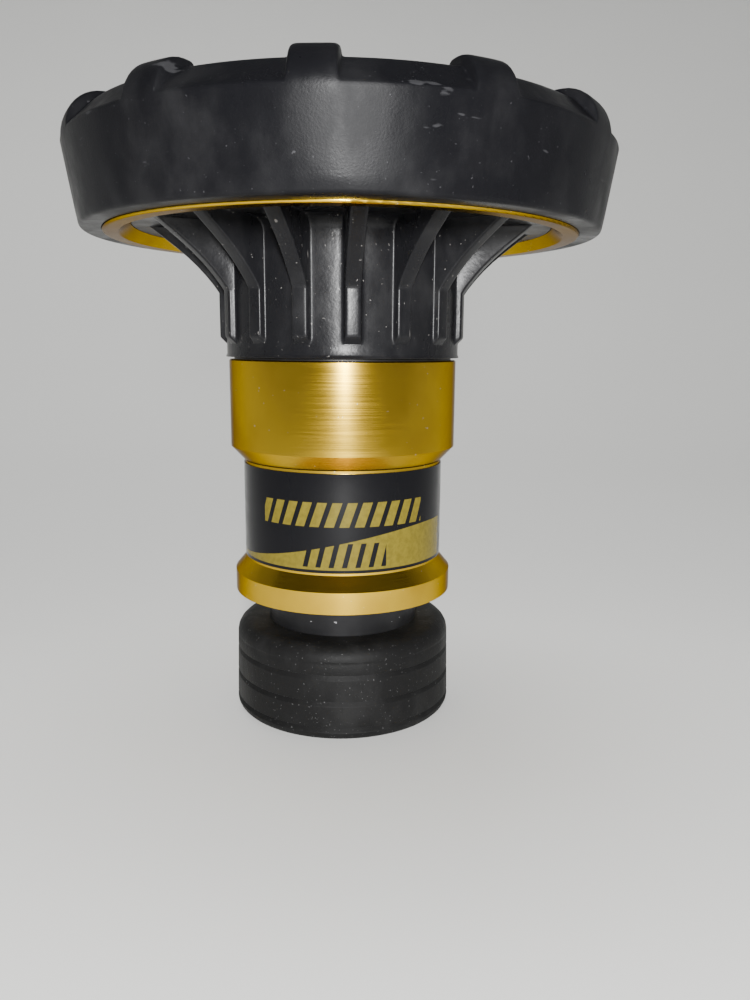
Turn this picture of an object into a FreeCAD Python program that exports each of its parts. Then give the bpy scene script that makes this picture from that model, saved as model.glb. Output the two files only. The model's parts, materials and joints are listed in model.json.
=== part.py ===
import FreeCAD, Part
import math
import os
import re
import Sketcher

# Twist-to-open fire hose nozzle on a 1 inch swivel coupling.
# The origin is the centre of the coupling's inlet face, and +Z runs towards the outlet.
# The gold body is fixed. The coupling swivels on its tail, and the head turns on its spigot.
# Two pins run in the head's helical slots and the spigot's straight slots, so that turning
# the head slides the stem and opens the baffle off its seat without turning it.

Vector = FreeCAD.Vector

SIZES = [
    # Coupling
    ("thread_radius", 15.55, "minor radius of the 1 in hose thread"),
    ("thread_length", 12.5, "threaded length of the coupling"),
    ("thread_lead", 1.6, "bevel at the mouth of the thread"),
    ("gasket_radius", 18.0, "outer radius of the hose gasket"),
    ("gasket_thickness", 3.0, "hose gasket thickness"),
    ("screen_radius", 14.6, "outer radius of the inlet screen"),
    ("screen_thickness", 0.8, "inlet screen thickness"),
    ("screen_hole_radius", 1.3, "radius of each hole in the screen"),
    ("screen_hole_pitch", 3.6, "distance between the screen's rings of holes"),
    ("waterway_radius", 12.7, "radius of the 1 in waterway"),
    ("nut_wall", 4.0, "wall of the nut outside the gasket"),
    ("hub_wall", 2.45, "wall of the nut's bare hub"),
    ("hub_length", 7.4, "bare hub showing in front of the sleeve"),
    ("tail_wall", 3.3, "wall of the body's tail inside the nut"),
    ("ball_radius", 1.5875, "swivel ball radius, 1/8 in ball"),
    ("tail_lip", 1.45, "tail left behind the ball race"),
    ("plug_radius", 1.7, "radius of the ball filling plug"),
    ("plug_recess", 0.3, "the plug's distance from the balls and from the nut's surface"),
    ("swivel_seal_height", 25.8, "height of the swivel O-ring"),
    ("sleeve_length", 22.3, "length of the coupling's rubber sleeve"),
    ("sleeve_flange", 1.3, "rubber in front of the nut's shoulder"),
    ("sleeve_wall", 4.3, "sleeve thickness at the front end"),
    ("sleeve_draft", 0.5, "extra thickness at the inlet end"),
    ("sleeve_rear_round", 2.0, "rounding of the sleeve's rear edge"),
    ("sleeve_front_round", 3.5, "rounding of the sleeve's shoulder"),
    ("sleeve_groove_first", 2.9, "height of the sleeve's first groove"),
    ("sleeve_groove_pitch", 6.2, "distance between the sleeve's grooves"),
    ("sleeve_groove_width", 0.9, "groove width along the sleeve"),
    ("sleeve_groove_depth", 0.5, "groove depth"),
    # Body
    ("swivel_gap", 0.4, "gap between the hub and the collar"),
    ("collar_step", 0.5, "collar radius less than the barrel's"),
    ("collar_length", 5.0, "length of the collar"),
    ("collar_bevel", 3.2, "length of the bevel down to the label seat"),
    ("label_seat_depth", 3.2, "depth of the label seat below the barrel"),
    ("label_seat_length", 23.6, "length of the label seat"),
    ("label_thickness", 0.25, "thickness of the label band"),
    ("label_margin", 0.6, "bare metal beside the label band"),
    ("barrel_bevel", 3.4, "length of the bevel up to the barrel"),
    ("barrel_radius", 27.0, "radius of the barrel"),
    ("barrel_length", 20.3, "length of the barrel"),
    ("barrel_edge", 0.3, "broken edge of the barrel"),
    ("inlet_bore_length", 20.5, "straight waterway in the tail"),
    ("inlet_cone_length", 8.0, "cone from the waterway to the chamber"),
    ("spigot_radius", 22.8, "radius of the spigot that the head turns on"),
    ("spigot_wall", 4.2, "wall between the spigot and the bore that the carrier slides in"),
    ("guide_step", 1.2, "step that the stem guide seats on"),
    ("guide_setback", 25.6, "distance of that step behind the barrel's front"),
    ("merge", 0.5, "how far added features reach into what they join"),
    ("cut_margin", 1.0, "how far cuts run past what they cut"),
    ("seal_section", 0.87, "O-ring section radius"),
    ("seal_groove_width", 2.2, "O-ring groove width"),
    ("seal_gap", 0.03, "gap between an O-ring and the bore it runs in"),
    ("head_seal_setback", 3.52, "front head seal behind the head bearing"),
    ("running_clearance", 0.05, "clearance of the turning and sliding fits"),
    # Guide, seat and head bearing
    ("guide_length", 8.0, "length of the stem guide"),
    ("guide_ring_wall", 2.0, "wall of the stem guide's ring"),
    ("guide_hub_radius", 7.0, "radius of the stem guide's hub"),
    ("vane_thickness", 2.4, "thickness of the guide and carrier vanes"),
    ("clip_thickness", 1.3, "thickness of the retaining rings"),
    ("clip_bite", 0.9, "depth of a retaining ring in its groove"),
    ("clip_gap_angle", 20.0, "opening of a retaining ring"),
    ("seat_radius", 13.2, "throat radius of the valve seat"),
    ("seat_ring_step", 1.2, "seat ring radius beyond the slide bore"),
    ("seat_ring_length", 4.2, "length of the seat ring"),
    ("seat_round", 1.5, "rounding of the seat's throat"),
    ("washer_thickness", 0.8, "thickness of the thrust washers"),
    # Stem
    ("stem_travel", 6.0, "slide of the stem from shut to open"),
    ("twist_angle", 150.0, "turn of the head from shut to open"),
    ("pin_radius", 2.0, "radius of the cam pins"),
    ("slot_end_relief", 0.1, "extra radius of a cam slot's drilled ends"),
    ("pin_recess", 0.2, "pins back from the carrier's bore"),
    ("pin_setback", 7.4, "distance of the shut pins from the barrel's front"),
    ("carrier_rear_land", 3.45, "carrier left behind the slots when open"),
    ("carrier_front_land", 4.15, "carrier left in front of the slots when shut"),
    ("carrier_stop_gap", 0.6, "gap between the open carrier and the seat ring"),
    ("carrier_wall", 3.35, "wall of the carrier"),
    ("carrier_hub_radius", 7.5, "radius of the carrier's hub"),
    ("carrier_hub_length", 10.0, "length of the carrier's hub"),
    ("stem_radius", 4.0, "radius of the stem"),
    ("stem_shoulder_radius", 6.0, "radius of the stem's shoulder"),
    ("stem_shoulder_length", 2.0, "length of the stem's shoulder"),
    ("stem_step", 1.0, "thickening of the stem in front of its shoulder"),
    ("stem_tail", 6.0, "stem left behind its guide when shut"),
    ("stem_nut_radius", 6.4, "across-corners radius of the stem nut"),
    ("stem_nut_length", 4.0, "length of the stem nut"),
    ("baffle_lip", 2.7, "baffle beyond its seal"),
    ("baffle_thickness", 7.9, "baffle thickness in front of the seat"),
    ("baffle_cone_length", 8.0, "flow cone behind the seat"),
    ("baffle_cone_gap", 0.8, "gap between the flow cone and the throat"),
    ("baffle_cone_wall", 2.0, "wall of the flow cone at its start"),
    ("baffle_cone_recess", 0.4, "end of the flow cone behind the seal"),
    ("baffle_bevel", 1.0, "bevel of the baffle's outer edge"),
    ("baffle_round", 1.2, "rounding of the baffle's front edge"),
    ("baffle_rim", 4.0, "flat rim around the baffle's dish"),
    ("baffle_dish_depth", 3.0, "depth of the dish in the baffle's face"),
    ("baffle_seal_width", 3.4, "seal face beyond the throat"),
    ("baffle_seal_thickness", 1.8, "thickness of the baffle seal"),
    ("cap_nut_radius", 6.5, "radius of the baffle's cap nut"),
    ("cap_nut_length", 4.4, "length of the baffle's cap nut"),
    ("cap_nut_gap", 1.0, "flat around the cap nut"),
    ("cap_nut_round", 1.5, "rounding of the cap nut"),
    ("cap_slot_width", 1.6, "width of the cap nut's slot"),
    ("cap_slot_depth", 1.2, "depth of the cap nut's slot"),
    # Head
    ("cam_flange_width", 3.8, "width of the cam sleeve's flange"),
    ("cam_flange_thickness", 2.5, "thickness of the cam sleeve's flange"),
    ("cam_front_wall", 1.3, "wall of the cam sleeve in front of the head bearing"),
    ("cam_step_length", 7.0, "spigot left in front of the head bearing"),
    ("skirt_gap", 0.5, "seam between the barrel and the grip"),
    ("skirt_flare", 0.27, "swell of the grip's rear edge"),
    ("skirt_length", 0.8, "length of that swell"),
    ("neck_step", 0.4, "grip radius between its ribs beyond the barrel's"),
    ("neck_wall", 1.2, "wall of the grip between its ribs"),
    ("neck_fillet", 3.1, "rounding from the grip to its flange"),
    ("flange_setback", 1.0, "flange behind the end of the spigot"),
    ("flange_thickness", 3.5, "thickness of the grip's flange"),
    ("rim_lip", 2.3, "width of the rebate that holds the rim ring"),
    ("rim_lip_thickness", 1.6, "thickness of the rim ring's lip"),
    ("rib_count", 16, "number of grip ribs"),
    ("rib_width", 3.5, "width of a grip rib"),
    ("rib_height", 1.5, "height of a grip rib"),
    ("rib_rise", 3.0, "start of the ribs above the grip's edge"),
    ("rib_bevel", 1.5, "bevel at the start of a rib"),
    ("rib_flare_length", 14.4, "length of a rib's flare"),
    ("rib_knee_rise", 5.8, "height of the flare's knee above its start"),
    ("rib_knee_reach", 4.2, "reach of the flare's knee"),
    ("rib_knee_round", 45.0, "rounding of the flare's knee"),
    ("rib_edge", 3.8, "flange left outside a flared rib"),
    ("rib_phase", 4.2, "angle of the first rib from +X"),
    ("rim_radius", 53.8, "outer radius of the rim ring"),
    ("rim_wall", 3.4, "wall of the rim ring"),
    ("rim_ledge", 2.6, "ledge of the rim ring over the flange"),
    ("rim_projection", 2.2, "rim ring behind the flange"),
    ("rim_round", 0.5, "rounding of the rim ring's rear edge"),
    ("rim_bead", 1.5, "depth of the bead that holds the bumper"),
    ("bumper_projection", 1.6, "bumper behind the flange"),
    ("bumper_wall", 4.7, "bumper thickness at the rear"),
    ("bumper_taper", 2.7, "extra thickness at its bevel"),
    ("bumper_side_length", 16.7, "length of the bumper's side"),
    ("bumper_bevel", 5.1, "length and depth of the bumper's bevel"),
    ("bumper_lip", 3.8, "lip of the bumper over the bowl"),
    ("bead_rise", 3.4, "distance of the rim ring's bead from the bumper's rear"),
    ("bead_length", 2.0, "length of the bead"),
    ("bead_slope", 0.4, "slope of the bead's rear side"),
    ("bumper_round", 0.8, "rounding of the bumper's rear edge"),
    ("lug_count", 12, "number of lugs on the bumper"),
    ("lug_width", 8.6, "width of a lug"),
    ("lug_inset", 1.5, "start of a lug outside the bumper's lip"),
    ("lug_relief", 0.02, "a lug's outer face behind the bumper's side"),
    ("lug_height", 2.4, "rise of a lug over the front face"),
    ("lug_foot", 0.1, "straight part of a lug's outer face below its rounding"),
    ("lug_edge", 0.9, "rounding of a lug's inner edge"),
    ("lug_phase", -4.7, "angle of the first lug from +X"),
    ("bowl_depth", 11.5, "length of the bowl in front of the flange"),
    ("bowl_throat_gap", 0.3, "gap between the bowl and the spigot"),
    ("bowl_throat_round", 4.0, "rounding from the throat to the cone"),
    ("bowl_cone_rise", 4.5, "rise of the bowl's cone"),
    ("bowl_hub_length", 6.3, "length of the bowl's hub in the cam sleeve"),
    ("tooth_ring_wall", 4.0, "wall of the tooth ring"),
    ("tooth_ring_depth", 3.5, "depth of the tooth ring in the bowl"),
    ("tooth_count", 24, "number of fog teeth"),
    ("tooth_width", 3.2, "width of a fog tooth"),
    ("tooth_height", 4.0, "height of a fog tooth"),
    ("tooth_inset", 0.4, "fog tooth in from the ring's edges"),
    ("tooth_bevel", 1.0, "slope across a fog tooth's top"),
    ("screw_count", 6, "number of bowl screws"),
    ("screw_floor", 2.5, "bowl left under the screw heads"),
    ("screw_radius", 2.0, "radius of a bowl screw"),
    ("screw_head_radius", 3.5, "radius of a bowl screw's head"),
    ("screw_head_length", 2.0, "length of a bowl screw's head"),
    ("screw_socket_radius", 1.7, "across-corners radius of its socket"),
    ("screw_socket_depth", 1.4, "depth of its socket"),
    ("screw_depth", 2.9, "depth of a bowl screw in the flange"),
]
BALL_COUNT = 28

document = FreeCAD.newDocument("fire_hose_nozzle")
dims = document.addObject("Spreadsheet::Sheet", "dims")
for row, (alias, size, note) in enumerate(SIZES, start=1):
    dims.set("A%d" % row, alias)
    dims.set("B%d" % row, str(size))
    dims.set("C%d" % row, note)
    dims.setAlias("B%d" % row, alias)
document.recompute()
ALIASES = {alias for alias, size, note in SIZES}

# Radii that follow from the sizes, as expressions.
TAIL = "(waterway_radius + tail_wall)"
NUT_BORE = "(%s + running_clearance)" % TAIL
HUB = "(%s + hub_wall)" % NUT_BORE
NUT = "(gasket_radius + nut_wall)"
SLEEVE_FRONT = "(%s + sleeve_wall)" % NUT
SLEEVE_REAR = "(%s + sleeve_draft)" % SLEEVE_FRONT
COLLAR = "(barrel_radius - collar_step)"
LABEL_SEAT = "(barrel_radius - label_seat_depth)"
SLIDE = "(spigot_radius - spigot_wall)"
CHAMBER = "(%s - guide_step)" % SLIDE
SEAT_RING = "(%s + seat_ring_step)" % SLIDE
CARRIER = "(%s - running_clearance)" % SLIDE
CARRIER_BORE = "(%s - carrier_wall)" % CARRIER
BAFFLE_CONE = "(seat_radius - baffle_cone_gap)"
BAFFLE_SEAL = "(seat_radius + baffle_seal_width)"
BAFFLE = "(%s + baffle_lip)" % BAFFLE_SEAL
NECK = "(barrel_radius + neck_step)"
RIB = "(%s + rib_height)" % NECK
CAM_SLEEVE = "(%s - neck_wall)" % NECK
CAM_FLANGE = "(%s + cam_flange_width)" % CAM_SLEEVE
CAM_BORE = "(spigot_radius + running_clearance)"
CAM_COUNTERBORE = "(%s - cam_front_wall)" % CAM_SLEEVE
RIM_INNER = "(rim_radius - rim_wall)"
FLANGE = "(%s - rim_ledge)" % RIM_INNER
REBATE = "(%s - rim_lip)" % FLANGE
BUMPER_REAR_RADIUS = "(rim_radius + bumper_wall)"
BUMPER_FRONT_RADIUS = "(%s + bumper_taper)" % BUMPER_REAR_RADIUS
BUMPER_LIP = "(rim_radius - bumper_lip)"
BOWL_THROAT = "(spigot_radius + bowl_throat_gap)"
BOWL_MOUTH = "(%s - tooth_ring_wall)" % BUMPER_LIP
SCREW_CIRCLE = "((%s + %s) / 2)" % (CAM_FLANGE, REBATE)
SLOT_HALF = "(pin_radius + running_clearance)"

# Levels along the axis, as expressions of the sizes.
NUT_SHOULDER = "(sleeve_length - sleeve_flange)"
HUB_TOP = "(sleeve_length + hub_length)"
GASKET_TOP = "(thread_length + gasket_thickness)"
TAIL_END = "(%s + running_clearance)" % GASKET_TOP
RACE = "(%s + tail_lip + ball_radius + running_clearance)" % TAIL_END
COLLAR_LOW = "(%s + swivel_gap)" % HUB_TOP
LABEL_SEAT_LOW = "(%s + collar_length + collar_bevel)" % COLLAR_LOW
LABEL_SEAT_TOP = "(%s + label_seat_length)" % LABEL_SEAT_LOW
BARREL_LOW = "(%s + barrel_bevel)" % LABEL_SEAT_TOP
BARREL_TOP = "(%s + barrel_length)" % BARREL_LOW
PIN = "(%s + pin_setback)" % BARREL_TOP
OPEN_PIN = "(%s + stem_travel)" % PIN
CARRIER_LOW = "(%s - stem_travel - %s - carrier_rear_land)" % (PIN, SLOT_HALF)
CARRIER_TOP = "(%s + %s + carrier_front_land)" % (OPEN_PIN, SLOT_HALF)
SEAT_LOW = "(%s + stem_travel + carrier_stop_gap)" % CARRIER_TOP
SPIGOT_TOP = "(%s + seat_ring_length)" % SEAT_LOW
GUIDE_LOW = "(%s - guide_setback)" % BARREL_TOP
GUIDE_TOP = "(%s + guide_length)" % GUIDE_LOW
STEM_END = "(%s - stem_tail)" % GUIDE_LOW
CAM_LOW = "(%s + washer_thickness + running_clearance)" % BARREL_TOP
BEARING = "(%s - cam_step_length)" % SPIGOT_TOP
FRONT_WASHER_LOW = "(%s + running_clearance)" % BEARING
FRONT_CLIP_LOW = "(%s + washer_thickness)" % FRONT_WASHER_LOW
FLANGE_REAR = "(%s - flange_setback)" % SPIGOT_TOP
FLANGE_FRONT = "(%s + flange_thickness)" % FLANGE_REAR
BOWL_TOP = "(%s + bowl_depth)" % FLANGE_FRONT
BOWL_EDGE = "(%s - tooth_ring_depth)" % BOWL_TOP
SCREW_SEAT = "(%s + screw_floor)" % FLANGE_FRONT
BUMPER_REAR = "(%s - bumper_projection)" % FLANGE_REAR
BUMPER_SHOULDER = "(%s + bumper_side_length)" % BUMPER_REAR
BUMPER_FRONT = "(%s + bumper_bevel)" % BUMPER_SHOULDER
BEAD_LOW = "(%s + bead_rise)" % BUMPER_REAR
BEAD_TOP = "(%s + bead_length)" % BEAD_LOW
RIM_REAR = "(%s - rim_projection)" % FLANGE_REAR
RIM_LIP = "(%s - rim_lip_thickness)" % FLANGE_FRONT
BAFFLE_LOW = "(%s + running_clearance)" % SPIGOT_TOP
BAFFLE_TOP = "(%s + baffle_thickness)" % BAFFLE_LOW
DISH = "(%s - baffle_dish_depth)" % BAFFLE_TOP
CARRIER_HUB_LOW = "(%s - carrier_hub_length / 2)" % PIN
CARRIER_HUB_TOP = "(%s + carrier_hub_length / 2)" % PIN
REAR_HEAD_SEAL = "(%s + seal_groove_width)" % CAM_LOW
FRONT_HEAD_SEAL = "(%s - head_seal_setback)" % BEARING


def value(text):
    return float(dims.evalExpression(text))


def bound(text):
    # The same expression, with each size named by its sheet.
    def named(word):
        return "dims." + word.group(0) if word.group(0) in ALIASES else word.group(0)
    return re.sub(r"[a-z_]+", named, text)


def new_body(label, compound=False, phase=None):
    body = document.addObject("PartDesign::Body", label)
    body.Label = label
    body.AllowCompound = compound
    if phase:
        body.Placement = FreeCAD.Placement(Vector(), FreeCAD.Rotation(Vector(0, 0, 1), value(phase)))
        body.setExpression("Placement.Rotation.Angle", bound(phase))
    return body


def new_sketch(body, role, height=None, turn=None):
    sketch = body.newObject("Sketcher::SketchObject", body.Label + "_sketch")
    plane = [item for item in body.Origin.OriginFeatures if item.Role == role][0]
    sketch.AttachmentSupport = [(plane, "")]
    sketch.MapMode = "FlatFace"
    if height:
        sketch.setExpression("AttachmentOffset.Base.z", bound(height))
    if turn:
        spin = FreeCAD.Rotation(Vector(0, 1, 0), value(turn))
        sketch.AttachmentOffset = FreeCAD.Placement(Vector(), spin)
        sketch.setExpression("AttachmentOffset.Rotation.Angle", bound(turn))
    return sketch


def constrain(sketch, kind, items, text):
    index = sketch.addConstraint(Sketcher.Constraint(kind, *items, value(text)))
    sketch.setExpression("Constraints[%d]" % index, bound(text))


def fix_point(sketch, geometry, vertex, across, up):
    # Ties a point to the sketch's origin, or puts it on the axis.
    for text, kind, axis in ((across, "DistanceX", -2), (up, "DistanceY", -1)):
        if abs(value(text)) < 1e-9:
            sketch.addConstraint(Sketcher.Constraint("PointOnObject", geometry, vertex, axis))
        else:
            constrain(sketch, kind, (-1, 1, geometry, vertex), text)


def draw_round(sketch, incoming, outgoing, corner, before, after, radius_text):
    radius = value(radius_text)
    half = before.getAngle(after) / 2
    centre = corner + (before + after).normalize() * (radius / math.sin(half))
    touches = [corner + side * (radius / math.tan(half)) - centre for side in (before, after)]
    left_turn = (before * -1).cross(after).z > 0
    first, last = touches if left_turn else touches[::-1]
    start = math.atan2(first.y, first.x)
    sweep = (math.atan2(last.y, last.x) - start) % (2 * math.pi)
    circle = Part.Circle(centre, Vector(0, 0, 1), radius)
    arc = sketch.addGeometry(Part.ArcOfCircle(circle, start, start + sweep))
    near, far = (1, 2) if left_turn else (2, 1)
    sketch.addConstraint(Sketcher.Constraint("Tangent", incoming, 2, arc, near))
    sketch.addConstraint(Sketcher.Constraint("Tangent", arc, far, outgoing, 1))
    constrain(sketch, "Radius", (arc,), radius_text)
    point = sketch.addGeometry(Part.Point(corner), True)
    for line in (incoming, outgoing):
        sketch.addConstraint(Sketcher.Constraint("PointOnObject", point, 1, line))
    return point


def draw_outline(sketch, corners):
    # A closed outline. A corner is (across, up) or (across, up, rounding).
    points = [Vector(value(corner[0]), value(corner[1]), 0) for corner in corners]
    count = len(points)
    sides = [(points[(i + 1) % count] - points[i]).normalize() for i in range(count)]
    reaches = []
    for i, corner in enumerate(corners):
        half = (sides[i - 1] * -1).getAngle(sides[i]) / 2
        reaches.append(value(corner[2]) / math.tan(half) if len(corner) > 2 else 0)
    lines = []
    for i in range(count):
        after = (i + 1) % count
        start = points[i] + sides[i] * reaches[i]
        end = points[after] - sides[i] * reaches[after]
        lines.append(sketch.addGeometry(Part.LineSegment(start, end)))
    for i, corner in enumerate(corners):
        if len(corner) > 2:
            back = sides[i - 1] * -1
            point = draw_round(sketch, lines[i - 1], lines[i], points[i], back, sides[i], corner[2])
            fix_point(sketch, point, 1, corner[0], corner[1])
        else:
            sketch.addConstraint(Sketcher.Constraint("Coincident", lines[i - 1], 2, lines[i], 1))
            fix_point(sketch, lines[i], 1, corner[0], corner[1])


def draw_circle(sketch, across, up, radius):
    centre = Vector(value(across), value(up), 0)
    circle = sketch.addGeometry(Part.Circle(centre, Vector(0, 0, 1), value(radius)))
    fix_point(sketch, circle, 3, across, up)
    constrain(sketch, "Radius", (circle,), radius)


def circle_ring(sketch, ring_radius, radius, count):
    for i in range(count):
        angle = i * 360.0 / count
        across = "%s * cos(%.4f)" % (ring_radius, angle)
        up = "%s * sin(%.4f)" % (ring_radius, angle)
        draw_circle(sketch, across, up, radius)


def turn_feature(body, kind, sketch, angle=None):
    feature = body.newObject(kind, body.Label + "_turn")
    feature.Profile = sketch
    feature.ReferenceAxis = (sketch, ["V_Axis"])
    feature.Angle = 360
    if angle:
        feature.Angle = value(angle)
        feature.setExpression("Angle", bound(angle))
    body.Tip = feature
    return feature


def turned(label, corners, phase=None, angle=None):
    body = new_body(label, phase=phase)
    sketch = new_sketch(body, "XZ_Plane")
    draw_outline(sketch, corners)
    turn_feature(body, "PartDesign::Revolution", sketch, angle)
    return body


def ring(label, inner, outer, low, high, phase=None, angle=None):
    corners = [(inner, low), (outer, low), (outer, high), (inner, high)]
    return turned(label, corners, phase, angle)


def cut_turned(body, corners):
    sketch = new_sketch(body, "XZ_Plane")
    draw_outline(sketch, corners)
    return checked_cut(body, turn_feature(body, "PartDesign::Groove", sketch))


def cut_ring(body, inner, outer, middle, width):
    low = "%s - %s / 2" % (middle, width)
    high = "%s + %s / 2" % (middle, width)
    cut_turned(body, [(inner, low), (outer, low), (outer, high), (inner, high)])


def cut_race(body):
    sketch = new_sketch(body, "XZ_Plane")
    draw_circle(sketch, NUT_BORE, RACE, "ball_radius + running_clearance")
    checked_cut(body, turn_feature(body, "PartDesign::Groove", sketch))


def checked_cut(body, feature):
    document.recompute()
    if not feature.Shape.Volume < feature.BaseFeature.Shape.Volume - 1e-6:
        raise RuntimeError(feature.Label + " removes nothing")
    return feature


def orings(label, outer, middles):
    # Round-section seals whose outside runs in a bore.
    body = new_body(label, compound=len(middles) > 1)
    sketch = new_sketch(body, "XZ_Plane")
    for middle in middles:
        draw_circle(sketch, "%s - seal_section" % outer, middle, "seal_section")
    turn_feature(body, "PartDesign::Revolution", sketch)
    return body


def cut_seal_groove(body, running_radius, outer, middle):
    # The O-ring's bottom lies on the floor of its groove.
    floor = "%s - 2 * seal_section" % outer
    cut_ring(body, floor, running_radius, middle, "seal_groove_width")


def repeat(body, features, count):
    pattern = body.newObject("PartDesign::PolarPattern", body.Label + "_pattern")
    pattern.Originals = features
    axis = [item for item in body.Origin.OriginFeatures if item.Role == "Z_Axis"][0]
    pattern.Axis = (axis, [""])
    pattern.Angle = 360
    if count in ALIASES:
        pattern.setExpression("Occurrences", bound(count))
    pattern.Occurrences = int(value(count))
    body.Tip = pattern
    return pattern


def add_pad(body, sketch, length, both_ways=False, backwards=False):
    pad = body.newObject("PartDesign::Pad", body.Label + "_pad")
    pad.Profile = sketch
    pad.Midplane = both_ways
    pad.Reversed = backwards
    pad.setExpression("Length", bound(length))
    body.Tip = pad
    return pad


def cut_pocket(body, sketch, length, both_ways=False, outwards=False):
    # A pocket runs against its sketch's normal, and outwards runs along it.
    pocket = body.newObject("PartDesign::Pocket", body.Label + "_pocket")
    pocket.Profile = sketch
    pocket.Midplane = both_ways
    pocket.Reversed = outwards
    pocket.setExpression("Length", bound(length))
    body.Tip = pocket
    return checked_cut(body, pocket)


def add_fins(body, corners, width, count):
    # Radial fins, drawn in a plane through the axis and repeated around it.
    sketch = new_sketch(body, "XZ_Plane")
    draw_outline(sketch, corners)
    repeat(body, [add_pad(body, sketch, width, both_ways=True)], count)


def add_hub(body, bore, radius, low, high):
    sketch = new_sketch(body, "XZ_Plane")
    draw_outline(sketch, [(bore, low), (radius, low), (radius, high), (bore, high)])
    turn_feature(body, "PartDesign::Revolution", sketch)


def add_spokes(body, bore, ring_bore, low, high):
    # Three vanes from inside the hub to inside the ring.
    add_fins(body, [
        ("%s + merge" % bore, low),
        ("%s + merge" % ring_bore, low),
        ("%s + merge" % ring_bore, high),
        ("%s + merge" % bore, high),
    ], "vane_thickness", "3")


def drill(body, ring_radius, radius, top, depth, count):
    sketch = new_sketch(body, "XY_Plane", height=top)
    circle_ring(sketch, ring_radius, radius, count)
    return cut_pocket(body, sketch, depth)


# Coupling: everything here swivels on the body's tail.

def coupling_nut():
    nut = turned("coupling_nut", [
        ("thread_radius + thread_lead", "0"),
        (NUT, "0"),
        (NUT, NUT_SHOULDER),
        (HUB, NUT_SHOULDER),
        (HUB, HUB_TOP),
        (NUT_BORE, HUB_TOP),
        (NUT_BORE, GASKET_TOP),
        ("gasket_radius", GASKET_TOP),
        ("gasket_radius", "thread_length"),
        ("thread_radius", "thread_length"),
        ("thread_radius", "thread_lead"),
    ])
    cut_race(nut)
    hole = new_sketch(nut, "YZ_Plane")
    draw_circle(hole, "0", RACE, "plug_radius")
    cut_pocket(nut, hole, "%s + cut_margin" % NUT, outwards=True)


def coupling_sleeve():
    sleeve = turned("coupling_sleeve", [
        (NUT, "0"),
        (SLEEVE_REAR, "0", "sleeve_rear_round"),
        (SLEEVE_FRONT, "sleeve_length", "sleeve_front_round"),
        (HUB, "sleeve_length"),
        (HUB, NUT_SHOULDER),
        (NUT, NUT_SHOULDER),
    ])
    for i in range(3):
        low = "sleeve_groove_first - sleeve_groove_width / 2 + %d * sleeve_groove_pitch" % i
        high = low + " + sleeve_groove_width"
        floor = "(%s - sleeve_groove_depth)" % SLEEVE_FRONT
        outside = "(%s + cut_margin)" % SLEEVE_REAR
        cut_turned(sleeve, [(floor, high), (outside, low), (outside, high)])


def hose_gasket():
    seat = "(%s - screen_thickness)" % GASKET_TOP
    turned("hose_gasket", [
        ("waterway_radius", "thread_length"),
        ("gasket_radius", "thread_length"),
        ("gasket_radius", GASKET_TOP),
        ("screen_radius", GASKET_TOP),
        ("screen_radius", seat),
        ("waterway_radius", seat),
    ])


def inlet_screen():
    seat = "(%s - screen_thickness)" % GASKET_TOP
    screen = turned("inlet_screen", [
        ("0", seat),
        ("screen_radius", seat),
        ("screen_radius", GASKET_TOP),
        ("0", GASKET_TOP),
    ])
    for ring_number, count in ((1, 6), (2, 12), (3, 18)):
        distance = "(%d * screen_hole_pitch)" % ring_number
        drill(screen, distance, "screen_hole_radius", GASKET_TOP, "screen_thickness", count)


def swivel_balls():
    balls = []
    for i in range(BALL_COUNT):
        angle = (i + 0.5) * 360.0 / BALL_COUNT
        ball = document.addObject("Part::Sphere", "swivel_ball")
        ball.setExpression("Radius", bound("ball_radius"))
        ball.setExpression("Placement.Base.x", bound("%s * cos(%.4f)" % (NUT_BORE, angle)))
        ball.setExpression("Placement.Base.y", bound("%s * sin(%.4f)" % (NUT_BORE, angle)))
        ball.setExpression("Placement.Base.z", bound(RACE))
        balls.append(ball)
    group = document.addObject("Part::Compound", "swivel_balls")
    group.Label = "swivel_balls"
    group.Links = balls
    return group


def ball_plug():
    start = "(%s + ball_radius + plug_recess)" % NUT_BORE
    end = "(%s - plug_recess)" % NUT
    body = new_body("ball_plug")
    sketch = new_sketch(body, "XY_Plane", height=RACE)
    draw_outline(sketch, [
        (start, "0"),
        (end, "0"),
        (end, "plug_radius"),
        (start, "plug_radius"),
    ])
    turn = body.newObject("PartDesign::Revolution", "ball_plug_turn")
    turn.Profile = sketch
    turn.ReferenceAxis = (sketch, ["H_Axis"])
    turn.Angle = 360
    body.Tip = turn


# Body and what is fixed in it.

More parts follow.
